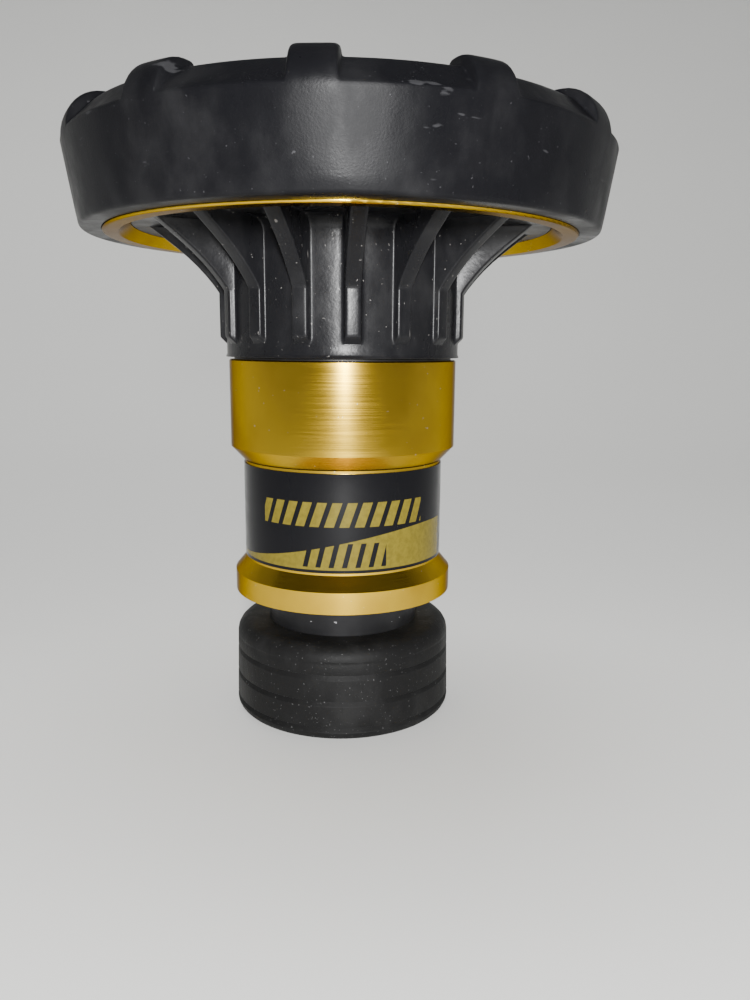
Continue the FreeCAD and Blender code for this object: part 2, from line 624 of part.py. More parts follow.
def nozzle_body():
    cone_low = "(%s + inlet_bore_length)" % TAIL_END
    body = turned("nozzle_body", [
        ("waterway_radius", TAIL_END),
        (TAIL, TAIL_END),
        (TAIL, COLLAR_LOW),
        (COLLAR, COLLAR_LOW),
        (COLLAR, "%s + collar_length" % COLLAR_LOW),
        (LABEL_SEAT, LABEL_SEAT_LOW),
        (LABEL_SEAT, LABEL_SEAT_TOP),
        ("barrel_radius", BARREL_LOW),
        ("barrel_radius", "%s - barrel_edge" % BARREL_TOP),
        ("barrel_radius - barrel_edge", BARREL_TOP),
        ("spigot_radius", BARREL_TOP),
        ("spigot_radius", SPIGOT_TOP),
        (SEAT_RING, SPIGOT_TOP),
        (SEAT_RING, SEAT_LOW),
        (SLIDE, SEAT_LOW),
        (SLIDE, GUIDE_LOW),
        (CHAMBER, GUIDE_LOW),
        (CHAMBER, "%s + inlet_cone_length" % cone_low),
        ("waterway_radius", cone_low),
    ])
    cut_race(body)
    cut_seal_groove(body, TAIL, "(%s - seal_gap)" % NUT_BORE, "swivel_seal_height")
    for middle in (REAR_HEAD_SEAL, FRONT_HEAD_SEAL):
        cut_seal_groove(body, "spigot_radius", "(%s - seal_gap)" % CAM_BORE, middle)
    clip_middle = "(%s + clip_thickness / 2)"
    cut_ring(body, SLIDE, "%s + clip_bite" % SLIDE, clip_middle % GUIDE_TOP, "clip_thickness")
    cut_ring(body, "spigot_radius - clip_bite", "spigot_radius", clip_middle % FRONT_CLIP_LOW,
             "clip_thickness")
    cut_straight_slots(body)


def cut_straight_slots(body):
    # Two slots through the spigot, with round ends, that stop the pins from turning.
    across = "2 * (spigot_radius + cut_margin)"
    left = "-" + SLOT_HALF
    sketch = new_sketch(body, "YZ_Plane")
    draw_outline(sketch, [(left, PIN), (SLOT_HALF, PIN), (SLOT_HALF, OPEN_PIN), (left, OPEN_PIN)])
    cut_pocket(body, sketch, across, both_ways=True)
    for middle in (PIN, OPEN_PIN):
        sketch = new_sketch(body, "YZ_Plane")
        draw_circle(sketch, "0", middle, SLOT_HALF)
        cut_pocket(body, sketch, across, both_ways=True)


def label_band():
    ring("label_band", LABEL_SEAT, "%s + label_thickness" % LABEL_SEAT,
         "%s + label_margin" % LABEL_SEAT_LOW, "%s - label_margin" % LABEL_SEAT_TOP)


def stem_guide():
    wall = "(%s - guide_ring_wall)" % SLIDE
    guide = ring("stem_guide", wall, SLIDE, GUIDE_LOW, GUIDE_TOP)
    bore = "(stem_radius + running_clearance)"
    add_spokes(guide, bore, wall, GUIDE_LOW, GUIDE_TOP)
    add_hub(guide, bore, "guide_hub_radius", GUIDE_LOW, GUIDE_TOP)


def seat_ring():
    seat = turned("seat_ring", [
        ("seat_radius", SEAT_LOW, "seat_round"),
        (SEAT_RING, SEAT_LOW),
        (SEAT_RING, SPIGOT_TOP),
        ("seat_radius", SPIGOT_TOP),
    ])
    middle = "(%s + seat_ring_length / 2)" % SEAT_LOW
    cut_seal_groove(seat, SEAT_RING, SEAT_RING, middle)
    orings("seat_oring", SEAT_RING, [middle])


def body_seals_and_rings():
    orings("swivel_oring", "(%s - seal_gap)" % NUT_BORE, ["swivel_seal_height"])
    orings("head_orings", "(%s - seal_gap)" % CAM_BORE, [REAR_HEAD_SEAL, FRONT_HEAD_SEAL])
    ring("thrust_washer", "spigot_radius", "%s - neck_step" % CAM_SLEEVE,
         BARREL_TOP, "%s + washer_thickness" % BARREL_TOP)
    ring("front_washer", "spigot_radius", "%s - 2 * running_clearance" % CAM_COUNTERBORE,
         FRONT_WASHER_LOW, FRONT_CLIP_LOW)
    ring("head_retaining_ring", "spigot_radius - clip_bite",
         "%s - 4 * running_clearance" % CAM_COUNTERBORE, FRONT_CLIP_LOW,
         "%s + clip_thickness" % FRONT_CLIP_LOW, angle="360 - clip_gap_angle")
    ring("guide_retaining_ring", "%s - guide_ring_wall" % SLIDE, "%s + clip_bite" % SLIDE,
         GUIDE_TOP, "%s + clip_thickness" % GUIDE_TOP, angle="360 - clip_gap_angle")


# Stem group: slides along the axis and never turns.

def stem_carrier():
    carrier = ring("stem_carrier", CARRIER_BORE, CARRIER, CARRIER_LOW, CARRIER_TOP)
    seal_outer = "(%s - seal_gap)" % SLIDE
    rear_seal = "(%s + seal_groove_width)" % CARRIER_LOW
    front_seal = "(%s - seal_groove_width)" % CARRIER_TOP
    add_spokes(carrier, "stem_radius", CARRIER_BORE, CARRIER_HUB_LOW, CARRIER_HUB_TOP)
    add_hub(carrier, "stem_radius", "carrier_hub_radius", CARRIER_HUB_LOW, CARRIER_HUB_TOP)
    for middle in (rear_seal, front_seal):
        cut_seal_groove(carrier, CARRIER, seal_outer, middle)
    hole = new_sketch(carrier, "YZ_Plane", height=CARRIER_BORE)
    draw_circle(hole, "0", PIN, "pin_radius")
    repeat(carrier, [cut_pocket(carrier, hole, "carrier_wall", outwards=True)], "2")
    orings("carrier_orings", seal_outer, [rear_seal, front_seal])


def cam_pins():
    # One rod right across, less its middle, leaves the two pins in the carrier's wall.
    body = new_body("cam_pins", compound=True)
    sketch = new_sketch(body, "YZ_Plane")
    draw_circle(sketch, "0", PIN, "pin_radius")
    add_pad(body, sketch, "2 * (%s - neck_step)" % CAM_SLEEVE, both_ways=True)
    low = "(%s - 2 * pin_radius)" % PIN
    top = "(%s + 2 * pin_radius)" % PIN
    inner = "(%s + pin_recess)" % CARRIER_BORE
    cut_turned(body, [("0", low), (inner, low), (inner, top), ("0", top)])


def valve_stem():
    shoulder = "(%s + stem_shoulder_length)" % CARRIER_HUB_TOP
    front_shoulder = "(%s - baffle_cone_length)" % BAFFLE_LOW
    turned("valve_stem", [
        ("0", STEM_END),
        ("stem_radius", STEM_END),
        ("stem_radius", CARRIER_HUB_TOP),
        ("stem_shoulder_radius", CARRIER_HUB_TOP),
        ("stem_shoulder_radius", shoulder),
        ("stem_radius + stem_step", "%s + stem_step" % shoulder),
        ("stem_radius + stem_step", front_shoulder),
        ("stem_radius", front_shoulder),
        ("stem_radius", "%s + cap_nut_length / 2" % DISH),
        ("0", "%s + cap_nut_length / 2" % DISH),
    ])


def stem_nut():
    nut = new_body("stem_nut")
    sketch = new_sketch(nut, "XY_Plane", height=CARRIER_HUB_LOW)
    corners = []
    for i in range(6):
        across = "stem_nut_radius * cos(%d)" % (30 + 60 * i)
        up = "stem_nut_radius * sin(%d)" % (30 + 60 * i)
        corners.append((across, up))
    draw_outline(sketch, corners)
    draw_circle(sketch, "0", "0", "stem_radius")
    add_pad(nut, sketch, "stem_nut_length", backwards=True)


def baffle():
    seal_top = "(%s + baffle_seal_thickness)" % BAFFLE_LOW
    lip = "(%s + baffle_seal_thickness / 3)" % BAFFLE_LOW
    cone_start = "(%s - baffle_cone_length)" % BAFFLE_LOW
    turned("baffle_head", [
        ("stem_radius", cone_start),
        ("stem_radius + baffle_cone_wall", cone_start),
        (BAFFLE_CONE, "%s - baffle_cone_recess" % BAFFLE_LOW),
        (BAFFLE_CONE, seal_top),
        (BAFFLE_SEAL, seal_top),
        (BAFFLE_SEAL, lip),
        (BAFFLE, "%s + baffle_bevel" % lip, "baffle_round / 2"),
        (BAFFLE, BAFFLE_TOP, "baffle_round"),
        ("%s - baffle_rim" % BAFFLE, BAFFLE_TOP),
        ("cap_nut_radius + cap_nut_gap", DISH),
        ("stem_radius", DISH),
    ])
    ring("baffle_seal", BAFFLE_CONE, BAFFLE_SEAL, BAFFLE_LOW, seal_top)


def baffle_cap_nut():
    top = "(%s + cap_nut_length)" % DISH
    stem_end = "(%s + cap_nut_length / 2)" % DISH
    cap = turned("baffle_cap_nut", [
        ("0", stem_end),
        ("stem_radius", stem_end),
        ("stem_radius", DISH),
        ("cap_nut_radius", DISH),
        ("cap_nut_radius", top, "cap_nut_round"),
        ("0", top),
    ])
    slot = new_sketch(cap, "YZ_Plane")
    floor = "(%s - cap_slot_depth)" % top
    above = "(%s + cut_margin)" % top
    right = "(cap_slot_width / 2)"
    draw_outline(slot, [("-" + right, floor), (right, floor), (right, above), ("-" + right, above)])
    cut_pocket(cap, slot, "3 * cap_nut_radius", both_ways=True)


# Head: turns on the spigot.

def cam_sleeve():
    sleeve = turned("cam_sleeve", [
        (CAM_BORE, CAM_LOW),
        (CAM_SLEEVE, CAM_LOW),
        (CAM_SLEEVE, "%s - cam_flange_thickness" % FLANGE_FRONT),
        (CAM_FLANGE, "%s - cam_flange_thickness" % FLANGE_FRONT),
        (CAM_FLANGE, FLANGE_FRONT),
        (CAM_COUNTERBORE, FLANGE_FRONT),
        (CAM_COUNTERBORE, BEARING),
        (CAM_BORE, BEARING),
    ])
    helix = cut_helix(sleeve)
    shut_end = cut_slot_end(sleeve, "0", PIN)
    open_end = cut_slot_end(sleeve, "twist_angle", OPEN_PIN)
    repeat(sleeve, [helix, shut_end, open_end], "2")


def cut_helix(sleeve):
    # The slot climbs by the stem's travel over the head's turn.
    inner = "(%s - merge)" % CAM_BORE
    outer = "(%s + merge)" % CAM_SLEEVE
    low = "(%s - %s)" % (PIN, SLOT_HALF)
    high = "(%s + %s)" % (PIN, SLOT_HALF)
    sketch = new_sketch(sleeve, "XZ_Plane")
    draw_outline(sketch, [(inner, low), (outer, low), (outer, high), (inner, high)])
    helix = sleeve.newObject("PartDesign::SubtractiveHelix", "cam_sleeve_helix")
    helix.Profile = sketch
    helix.ReferenceAxis = (sketch, ["V_Axis"])
    helix.Mode = "pitch-height-angle"
    for name, text in (("Pitch", "stem_travel * 360 / twist_angle"), ("Height", "stem_travel")):
        setattr(helix, name, value(text))
        helix.setExpression(name, bound(text))
    helix.Angle = 0
    sleeve.Tip = helix
    return checked_cut(sleeve, helix)


def cut_slot_end(sleeve, angle, middle):
    # The YZ plane faces +X, so the round end is cut from the axis outwards.
    sketch = new_sketch(sleeve, "YZ_Plane", turn=angle)
    draw_circle(sketch, "0", middle, "%s + slot_end_relief" % SLOT_HALF)
    return cut_pocket(sleeve, sketch, "%s + cut_margin" % CAM_SLEEVE, outwards=True)


def grip_neck():
    edge = "(%s + skirt_gap)" % BARREL_TOP
    neck = turned("grip_neck", [
        (CAM_SLEEVE, edge),
        ("%s + skirt_flare" % NECK, edge),
        (NECK, "%s + skirt_length" % edge),
        (NECK, FLANGE_REAR, "neck_fillet"),
        (FLANGE, FLANGE_REAR),
        (FLANGE, RIM_LIP),
        (REBATE, RIM_LIP),
        (REBATE, FLANGE_FRONT),
        (CAM_FLANGE, FLANGE_FRONT),
        (CAM_FLANGE, "%s - cam_flange_thickness" % FLANGE_FRONT),
        (CAM_SLEEVE, "%s - cam_flange_thickness" % FLANGE_FRONT),
    ], phase="rib_phase")
    start = "(%s + rib_rise)" % edge
    kink = "(%s - rib_flare_length)" % FLANGE_REAR
    inside = "(%s - merge)" % NECK
    end = "(%s + merge)" % FLANGE_REAR
    add_fins(neck, [
        (inside, start),
        (NECK, start),
        (RIB, "%s + rib_bevel" % start),
        (RIB, kink),
        ("%s + rib_knee_reach" % RIB, "%s + rib_knee_rise" % kink, "rib_knee_round"),
        ("%s - rib_edge" % FLANGE, end),
        (inside, end),
    ], "rib_width", "rib_count")
    drill(neck, SCREW_CIRCLE, "screw_radius", FLANGE_FRONT, "screw_depth", int(value("screw_count")))


def rim_ring():
    turned("rim_ring", [
        (RIM_INNER, RIM_REAR),
        ("rim_radius", RIM_REAR, "rim_round"),
        ("rim_radius", BEAD_LOW),
        ("rim_radius + rim_bead", "%s + bead_slope" % BEAD_LOW),
        ("rim_radius + rim_bead", BEAD_TOP),
        ("rim_radius", BEAD_TOP),
        ("rim_radius", FLANGE_FRONT),
        (REBATE, FLANGE_FRONT),
        (REBATE, RIM_LIP),
        (FLANGE, RIM_LIP),
        (FLANGE, FLANGE_REAR),
    ])


def bumper():
    body = turned("bumper", [
        ("rim_radius", BUMPER_REAR),
        (BUMPER_REAR_RADIUS, BUMPER_REAR, "bumper_round"),
        (BUMPER_FRONT_RADIUS, BUMPER_SHOULDER),
        ("%s - bumper_bevel" % BUMPER_FRONT_RADIUS, BUMPER_FRONT),
        (BUMPER_LIP, BUMPER_FRONT),
        (BUMPER_LIP, BOWL_TOP),
        ("rim_radius", BOWL_TOP),
        ("rim_radius", BEAD_TOP),
        ("rim_radius + rim_bead", BEAD_TOP),
        ("rim_radius + rim_bead", "%s + bead_slope" % BEAD_LOW),
        ("rim_radius", BEAD_LOW),
    ], phase="lug_phase")
    top = "(%s + lug_height)" % BUMPER_FRONT
    inner = "(%s + lug_inset)" % BUMPER_LIP
    flank = "(%s - lug_relief)" % BUMPER_FRONT_RADIUS
    add_fins(body, [
        (inner, "%s - merge" % BUMPER_FRONT),
        ("%s - 2 * bumper_bevel / 3" % BUMPER_FRONT_RADIUS, "%s - bumper_bevel" % BUMPER_FRONT),
        (flank, BUMPER_SHOULDER),
        (flank, top, "bumper_bevel + lug_height - lug_foot"),
        (inner, top, "lug_edge"),
    ], "lug_width", "lug_count")


def outlet_bowl():
    hub_low = "(%s - bowl_hub_length)" % FLANGE_FRONT
    bowl = turned("outlet_bowl", [
        (BOWL_THROAT, hub_low),
        (CAM_COUNTERBORE, hub_low),
        (CAM_COUNTERBORE, FLANGE_FRONT),
        ("rim_radius", FLANGE_FRONT),
        ("rim_radius", BOWL_TOP),
        (BUMPER_LIP, BOWL_TOP),
        (BUMPER_LIP, BOWL_EDGE),
        (BOWL_MOUTH, BOWL_EDGE),
        (BOWL_THROAT, "%s - bowl_cone_rise" % BOWL_EDGE, "bowl_throat_round"),
    ], phase="rib_phase")
    count = int(value("screw_count"))
    drill(bowl, SCREW_CIRCLE, "screw_head_radius", BOWL_TOP, "%s - %s" % (BOWL_TOP, SCREW_SEAT), count)
    drill(bowl, SCREW_CIRCLE, "screw_radius", BOWL_TOP, "%s - %s + cut_margin" % (BOWL_TOP, FLANGE_FRONT),
          count)


def bowl_screws():
    # Socket-head screws from the bowl's floor into the grip's flange.
    screws = new_body("bowl_screws", compound=True, phase="rib_phase")
    count = int(value("screw_count"))
    head = new_sketch(screws, "XY_Plane", height=SCREW_SEAT)
    circle_ring(head, SCREW_CIRCLE, "screw_head_radius", count)
    add_pad(screws, head, "screw_head_length")
    shank = new_sketch(screws, "XY_Plane", height="(%s - screw_depth)" % FLANGE_FRONT)
    circle_ring(shank, SCREW_CIRCLE, "screw_radius", count)
    add_pad(screws, shank, "screw_depth + screw_floor + merge")
    head_top = "(%s + screw_head_length)" % SCREW_SEAT
    drill(screws, SCREW_CIRCLE, "screw_socket_radius", head_top, "screw_socket_depth", count)


def tooth_ring():
    teeth = ring("tooth_ring", BOWL_MOUTH, BUMPER_LIP, BOWL_EDGE, BOWL_TOP, phase="lug_phase")
    root = "(%s - merge)" % BOWL_TOP
    tip = "(%s + tooth_height)" % BOWL_TOP
    inner = "(%s + tooth_inset)" % BOWL_MOUTH
    outer = "(%s - tooth_inset)" % BUMPER_LIP
    add_fins(teeth, [
        (inner, root),
        (outer, root),
        (outer, "%s - tooth_bevel" % tip),
        ("%s + tooth_inset" % inner, tip),
    ], "tooth_width", "tooth_count")


def build():
    coupling_nut()
    coupling_sleeve()
    hose_gasket()
    inlet_screen()
    swivel_balls()
    ball_plug()
    nozzle_body()
    label_band()
    stem_guide()
    seat_ring()
    body_seals_and_rings()
    stem_carrier()
    cam_pins()
    valve_stem()
    stem_nut()
    baffle()
    baffle_cap_nut()
    cam_sleeve()
    grip_neck()
    rim_ring()
    bumper()
    outlet_bowl()
    bowl_screws()
    tooth_ring()
    document.recompute()


def check():
    for item in document.Objects:
        if "Invalid" in item.State or "Error" in item.State:
            raise RuntimeError("%s failed: %s" % (item.Label, item.State))


def export():
    os.makedirs("parts", exist_ok=True)
    pieces = [item for item in document.Objects
              if item.TypeId in ("PartDesign::Body", "Part::Compound")]
    for piece in pieces:
        if piece.Shape.isNull() or not piece.Shape.isValid():
            raise RuntimeError(piece.Label + " has no valid shape")
    for piece in pieces:
        piece.Shape.exportStep("parts/%s.step" % piece.Label)
        print("%-22s %2d solid(s) %10.1f mm3" % (piece.Label, len(piece.Shape.Solids), piece.Shape.Volume))


build()
check()
export()
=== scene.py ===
import json
import math
import bmesh
import bpy
from mathutils import Matrix, Vector


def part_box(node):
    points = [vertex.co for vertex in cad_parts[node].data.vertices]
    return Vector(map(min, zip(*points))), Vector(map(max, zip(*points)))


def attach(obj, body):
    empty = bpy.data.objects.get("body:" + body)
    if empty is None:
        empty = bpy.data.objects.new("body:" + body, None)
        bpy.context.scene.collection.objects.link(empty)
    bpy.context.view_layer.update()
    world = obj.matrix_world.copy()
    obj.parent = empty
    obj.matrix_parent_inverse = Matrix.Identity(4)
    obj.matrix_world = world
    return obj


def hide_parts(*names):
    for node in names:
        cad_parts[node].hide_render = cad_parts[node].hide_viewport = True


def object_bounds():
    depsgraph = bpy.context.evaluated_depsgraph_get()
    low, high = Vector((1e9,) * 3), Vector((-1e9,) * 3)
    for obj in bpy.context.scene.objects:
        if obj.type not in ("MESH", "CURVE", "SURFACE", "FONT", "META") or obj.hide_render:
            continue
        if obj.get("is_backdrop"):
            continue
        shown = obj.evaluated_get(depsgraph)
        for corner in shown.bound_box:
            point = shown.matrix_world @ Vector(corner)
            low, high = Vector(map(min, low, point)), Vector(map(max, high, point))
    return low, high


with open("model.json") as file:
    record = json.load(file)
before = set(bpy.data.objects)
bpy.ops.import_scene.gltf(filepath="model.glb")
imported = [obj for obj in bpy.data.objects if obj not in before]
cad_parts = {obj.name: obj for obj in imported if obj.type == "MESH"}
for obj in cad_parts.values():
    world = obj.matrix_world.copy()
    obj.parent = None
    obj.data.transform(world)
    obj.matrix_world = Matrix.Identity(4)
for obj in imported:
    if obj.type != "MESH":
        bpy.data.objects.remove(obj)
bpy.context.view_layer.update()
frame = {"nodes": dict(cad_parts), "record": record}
scene = bpy.context.scene
mm = 0.001
print("frame loaded:", len(frame["nodes"]), "nodes")


# finishes

def addNode(tree, kind, place, **sockets):
    node = tree.nodes.new(kind)
    node.location = place
    for name, value in sockets.items():
        node.inputs[name].default_value = value
    return node


def mathNode(tree, place, operation, first, second, third=None):
    # a Math node between sockets or numbers
    node = tree.nodes.new("ShaderNodeMath")
    node.operation = operation
    node.location = place
    for index, item in enumerate((first, second, third)):
        if hasattr(item, "is_output"):
            tree.links.new(item, node.inputs[index])
        elif item is not None:
            node.inputs[index].default_value = item
    return node.outputs[0]


def spread(tree, place, source, low, high, toLow=0.0, toHigh=1.0):
    # a clamped Map Range from low..high onto toLow..toHigh
    node = tree.nodes.new("ShaderNodeMapRange")
    node.location = place
    node.interpolation_type = "SMOOTHSTEP"
    node.inputs["From Min"].default_value = low
    node.inputs["From Max"].default_value = high
    node.inputs["To Min"].default_value = toLow
    node.inputs["To Max"].default_value = toHigh
    tree.links.new(source, node.inputs["Value"])
    return node.outputs["Result"]


def grain(tree, place, scale, stretch=(1.0, 1.0, 1.0), detail=3.0, roughness=0.5):
    # noise on the piece's own coordinates, stretched along its axes
    coords = tree.nodes.get("coords") or tree.nodes.new("ShaderNodeTexCoord")
    coords.name = "coords"
    coords.location = (-1500, 0)
    mapping = tree.nodes.new("ShaderNodeMapping")
    mapping.location = (place[0] - 220, place[1])
    mapping.inputs["Scale"].default_value = stretch
    tree.links.new(coords.outputs["Object"], mapping.inputs["Vector"])
    noise = tree.nodes.new("ShaderNodeTexNoise")
    noise.location = place
    noise.inputs["Scale"].default_value = scale
    noise.inputs["Detail"].default_value = detail
    noise.inputs["Roughness"].default_value = roughness
    tree.links.new(mapping.outputs["Vector"], noise.inputs["Vector"])
    return noise.outputs["Fac"]


def blendColours(tree, place, amount, first, second):
    node = tree.nodes.new("ShaderNodeMix")
    node.data_type = "RGBA"
    node.location = place
    tree.links.new(amount, node.inputs["Factor"])
    for index, item in ((6, first), (7, second)):
        if hasattr(item, "is_output"):
            tree.links.new(item, node.inputs[index])
        else:
            node.inputs[index].default_value = (*item, 1.0)
    return node.outputs[2]


def newFinish(name, look):
    # an empty finish with its fixed shader values set on the shader itself
    material = bpy.data.materials.new(name)
    material.use_nodes = True
    tree = material.node_tree
    shader = tree.nodes["Principled BSDF"]
    shader.inputs["Metallic"].default_value = look.get("metal", 0.0)
    shader.inputs["IOR"].default_value = look.get("ior", 1.5)
    shader.inputs["Specular IOR Level"].default_value = look.get("specular", 0.5)
    shader.inputs["Specular Tint"].default_value = (*look.get("edge", (1.0, 1.0, 1.0)), 1.0)
    shader.inputs["Coat Weight"].default_value = look.get("coat", 0.0)
    shader.inputs["Coat Roughness"].default_value = look.get("coatRoughness", 0.1)
    material.diffuse_color = (*look["colour"], 1.0)
    return material, tree, shader


def addBump(tree, shader, height, strength, depth):
    bump = tree.nodes.new("ShaderNodeBump")
    bump.location = (-250, -350)
    bump.inputs["Strength"].default_value = strength
    bump.inputs["Distance"].default_value = depth
    tree.links.new(height, bump.inputs["Height"])
    tree.links.new(bump.outputs["Normal"], shader.inputs["Normal"])


def turnedMetal(name, look):
    # lathe-turned metal: fine lines round the axis, cloudy tint, small nicks
    material, tree, shader = newFinish(name, look)
    lines = grain(tree, (-900, 200), look["lines"], (0.006, 0.006, 1.0), 4.0, 0.6)
    cloud = grain(tree, (-900, -50), look["cloud"], (1.0, 1.0, 1.0), 3.0)
    nicks = grain(tree, (-900, -300), look["nicks"], (1.0, 1.0, 1.6), 2.0)
    tint = spread(tree, (-650, -50), cloud, 0.35, 0.7)
    base = blendColours(tree, (-420, 100), tint, look["colour"], look["deepColour"])
    chip = spread(tree, (-650, -300), nicks, 0.735, 0.76)
    colour = blendColours(tree, (-220, 100), chip, base, look["nickColour"])
    tree.links.new(colour, shader.inputs["Base Color"])
    matte = spread(tree, (-650, 250), lines, 0.3, 0.7, look["smooth"], look["rough"])
    tree.links.new(matte, shader.inputs["Roughness"])
    addBump(tree, shader, lines, look["lineStrength"], look["lineDepth"])
    return material


def mouldedBlack(name, look):
    # rubber or plastic from a mould: skin grain, rubbed patches, dust and scratches
    material, tree, shader = newFinish(name, look)
    skin = grain(tree, (-900, 250), look["skin"], (1.0, 1.0, 1.0), 4.0, 0.6)
    rubbed = grain(tree, (-900, 0), look["rubs"], (1.0, 1.0, 0.6), 5.0, 0.6)
    dust = grain(tree, (-900, -250), look["dust"], (1.0, 1.0, 1.0), 2.0, 0.5)
    scratch = grain(tree, (-900, -500), look["scratches"], look["scratchRun"], 3.0, 0.55)
    worn = spread(tree, (-650, 0), rubbed, 0.45, 0.75)
    base = blendColours(tree, (-420, 100), worn, look["colour"], look["wornColour"])
    speck = spread(tree, (-650, -250), dust, look["dustFrom"], look["dustFrom"] + 0.035, 0.0, 0.75)
    dusty = blendColours(tree, (-220, 60), speck, base, look["dustColour"])
    line = spread(tree, (-650, -500), scratch, look["scratchFrom"], look["scratchFrom"] + 0.03, 0.0, 0.5)
    colour = blendColours(tree, (-60, 60), line, dusty, look["dustColour"])
    tree.links.new(colour, shader.inputs["Base Color"])
    matte = spread(tree, (-420, 300), rubbed, 0.3, 0.75, look["smooth"], look["rough"])
    tree.links.new(matte, shader.inputs["Roughness"])
    addBump(tree, shader, skin, look["skinStrength"], look["skinDepth"])
    return material


def printedLabel(name, look):
    # glossy black film with slanted bars, a rising gold wedge and a short scale on it
    material, tree, shader = newFinish(name, look)
    coords = tree.nodes.new("ShaderNodeTexCoord")
    coords.name = "coords"
    coords.location = (-2400, 0)
    split = tree.nodes.new("ShaderNodeSeparateXYZ")
    split.location = (-2200, 0)
    tree.links.new(coords.outputs["Object"], split.inputs[0])
    front = mathNode(tree, (-2100, -100), "MULTIPLY", split.outputs["Y"], -1.0)
    turn = mathNode(tree, (-2000, 100), "ARCTAN2", split.outputs["X"], front)
    across = mathNode(tree, (-1800, 100), "MULTIPLY", turn, look["radius"])
    height = mathNode(tree, (-2000, -150), "SUBTRACT", split.outputs["Z"], look["bottom"])
    soft, barSoft = look["softEdge"], look["barSoftEdge"]

    def between(place, source, low, high):
        rise = spread(tree, place, source, low - soft, low + soft)
        fall = spread(tree, (place[0], place[1] - 60), source, high - soft, high + soft, 1.0, 0.0)
        return mathNode(tree, (place[0] + 180, place[1]), "MULTIPLY", rise, fall)

    def slantedBars(row, kind):
        # evenly spaced leaning bars inside a window of the label
        shift = mathNode(tree, (-1800, row), "MULTIPLY", height, look[kind + "Lean"])
        lean = mathNode(tree, (-1700, row), "ADD", across, shift)
        step = mathNode(tree, (-1500, row), "PINGPONG", lean, look[kind + "Pitch"] / 2)
        half = look[kind + "Width"] / 2
        bars = spread(tree, (-1300, row), step, half, half + barSoft, 1.0, 0.0)
        window = between((-1300, row - 150), across, look[kind + "From"], look[kind + "To"])
        bars = mathNode(tree, (-1100, row), "MULTIPLY", bars, window)
        window = between((-1100, row - 250), height, look[kind + "Low"], look[kind + "High"])
        return mathNode(tree, (-900, row), "MULTIPLY", bars, window)

    # the wedge: its upper edge climbs from left to right
    climb = spread(tree, (-1600, 300), across, look["wedgeFrom"], look["wedgeTo"])
    edge = mathNode(tree, (-1400, 300), "MULTIPLY_ADD", climb, look["wedgeRise"], look["wedgeLow"])
    above = mathNode(tree, (-1200, 300), "SUBTRACT", height, edge)
    under = spread(tree, (-1000, 300), above, -soft, soft, 1.0, 0.0)
    overLine = spread(tree, (-1000, 200), height, look["lineHeight"] - soft, look["lineHeight"] + soft)
    wedge = mathNode(tree, (-800, 300), "MULTIPLY", under, overLine)
    wedgeAcross = between((-1000, 100), across, look["wedgeStart"], look["wedgeEnd"])
    wedge = mathNode(tree, (-600, 300), "MULTIPLY", wedge, wedgeAcross)
    # black ticks standing in the wedge
    tick = slantedBars(-100, "tick")
    wedge = mathNode(tree, (-400, 300), "MULTIPLY", wedge,
                     mathNode(tree, (-800, -100), "SUBTRACT", 1.0, tick))
    # a row of slanted gold bars above the wedge
    bar = slantedBars(-500, "bar")
    printed = mathNode(tree, (-250, 200), "MAXIMUM", wedge, bar)
    wear = grain(tree, (-700, -800), 900.0, (1.0, 1.0, 1.0), 3.0)
    worn = spread(tree, (-450, -800), wear, 0.3, 0.75)
    ink = blendColours(tree, (-250, -100), worn, look["ink"], look["wornInk"])
    colour = blendColours(tree, (-60, 100), printed, look["colour"], ink)
    tree.links.new(colour, shader.inputs["Base Color"])
    handling = grain(tree, (-700, -1000), 260.0, (1.0, 1.0, 1.0), 4.0)
    matte = spread(tree, (-450, -1000), handling, 0.3, 0.7, look["smooth"], look["rough"])
    tree.links.new(matte, shader.inputs["Roughness"])
    addBump(tree, shader, handling, 0.08, 0.0002)
    return material


goldLook = {
    "colour": (0.70, 0.45, 0.040), "deepColour": (0.58, 0.36, 0.028), "nickColour": (0.85, 0.80, 0.62),
    "metal": 1.0, "lines": 9000.0, "cloud": 60.0, "nicks": 900.0, "edge": (0.30, 0.28, 0.30),
    "smooth": 0.15, "rough": 0.23, "lineStrength": 0.04, "lineDepth": 0.00001,
}
bumperLook = {
    "colour": (0.005, 0.005, 0.006), "wornColour": (0.012, 0.012, 0.013),
    "dustColour": (0.045, 0.045, 0.048),
    "specular": 0.09, "skin": 2200.0, "rubs": 70.0, "dust": 1500.0, "dustFrom": 0.72,
    "scratches": 130.0, "scratchRun": (0.7, 0.7, 2.4), "scratchFrom": 0.68,
    "smooth": 0.24, "rough": 0.52, "skinStrength": 0.12, "skinDepth": 0.0002,
}
sleeveLook = {
    "colour": (0.007, 0.007, 0.007), "wornColour": (0.013, 0.013, 0.013), "dustColour": (0.10, 0.10, 0.10),
    "specular": 0.10, "skin": 1500.0, "rubs": 120.0, "dust": 1900.0, "dustFrom": 0.70,
    "scratches": 160.0, "scratchRun": (0.3, 0.3, 4.0), "scratchFrom": 0.73,
    "smooth": 0.46, "rough": 0.66, "skinStrength": 0.2, "skinDepth": 0.0003,
}
gripLook = {
    "colour": (0.007, 0.007, 0.008), "wornColour": (0.014, 0.014, 0.015), "dustColour": (0.20, 0.19, 0.18),
    "specular": 0.15, "skin": 900.0, "rubs": 110.0, "dust": 1300.0, "dustFrom": 0.715,
    "scratches": 150.0, "scratchRun": (2.0, 2.0, 0.4), "scratchFrom": 0.74,
    "smooth": 0.24, "rough": 0.42, "skinStrength": 0.14, "skinDepth": 0.0003,
}
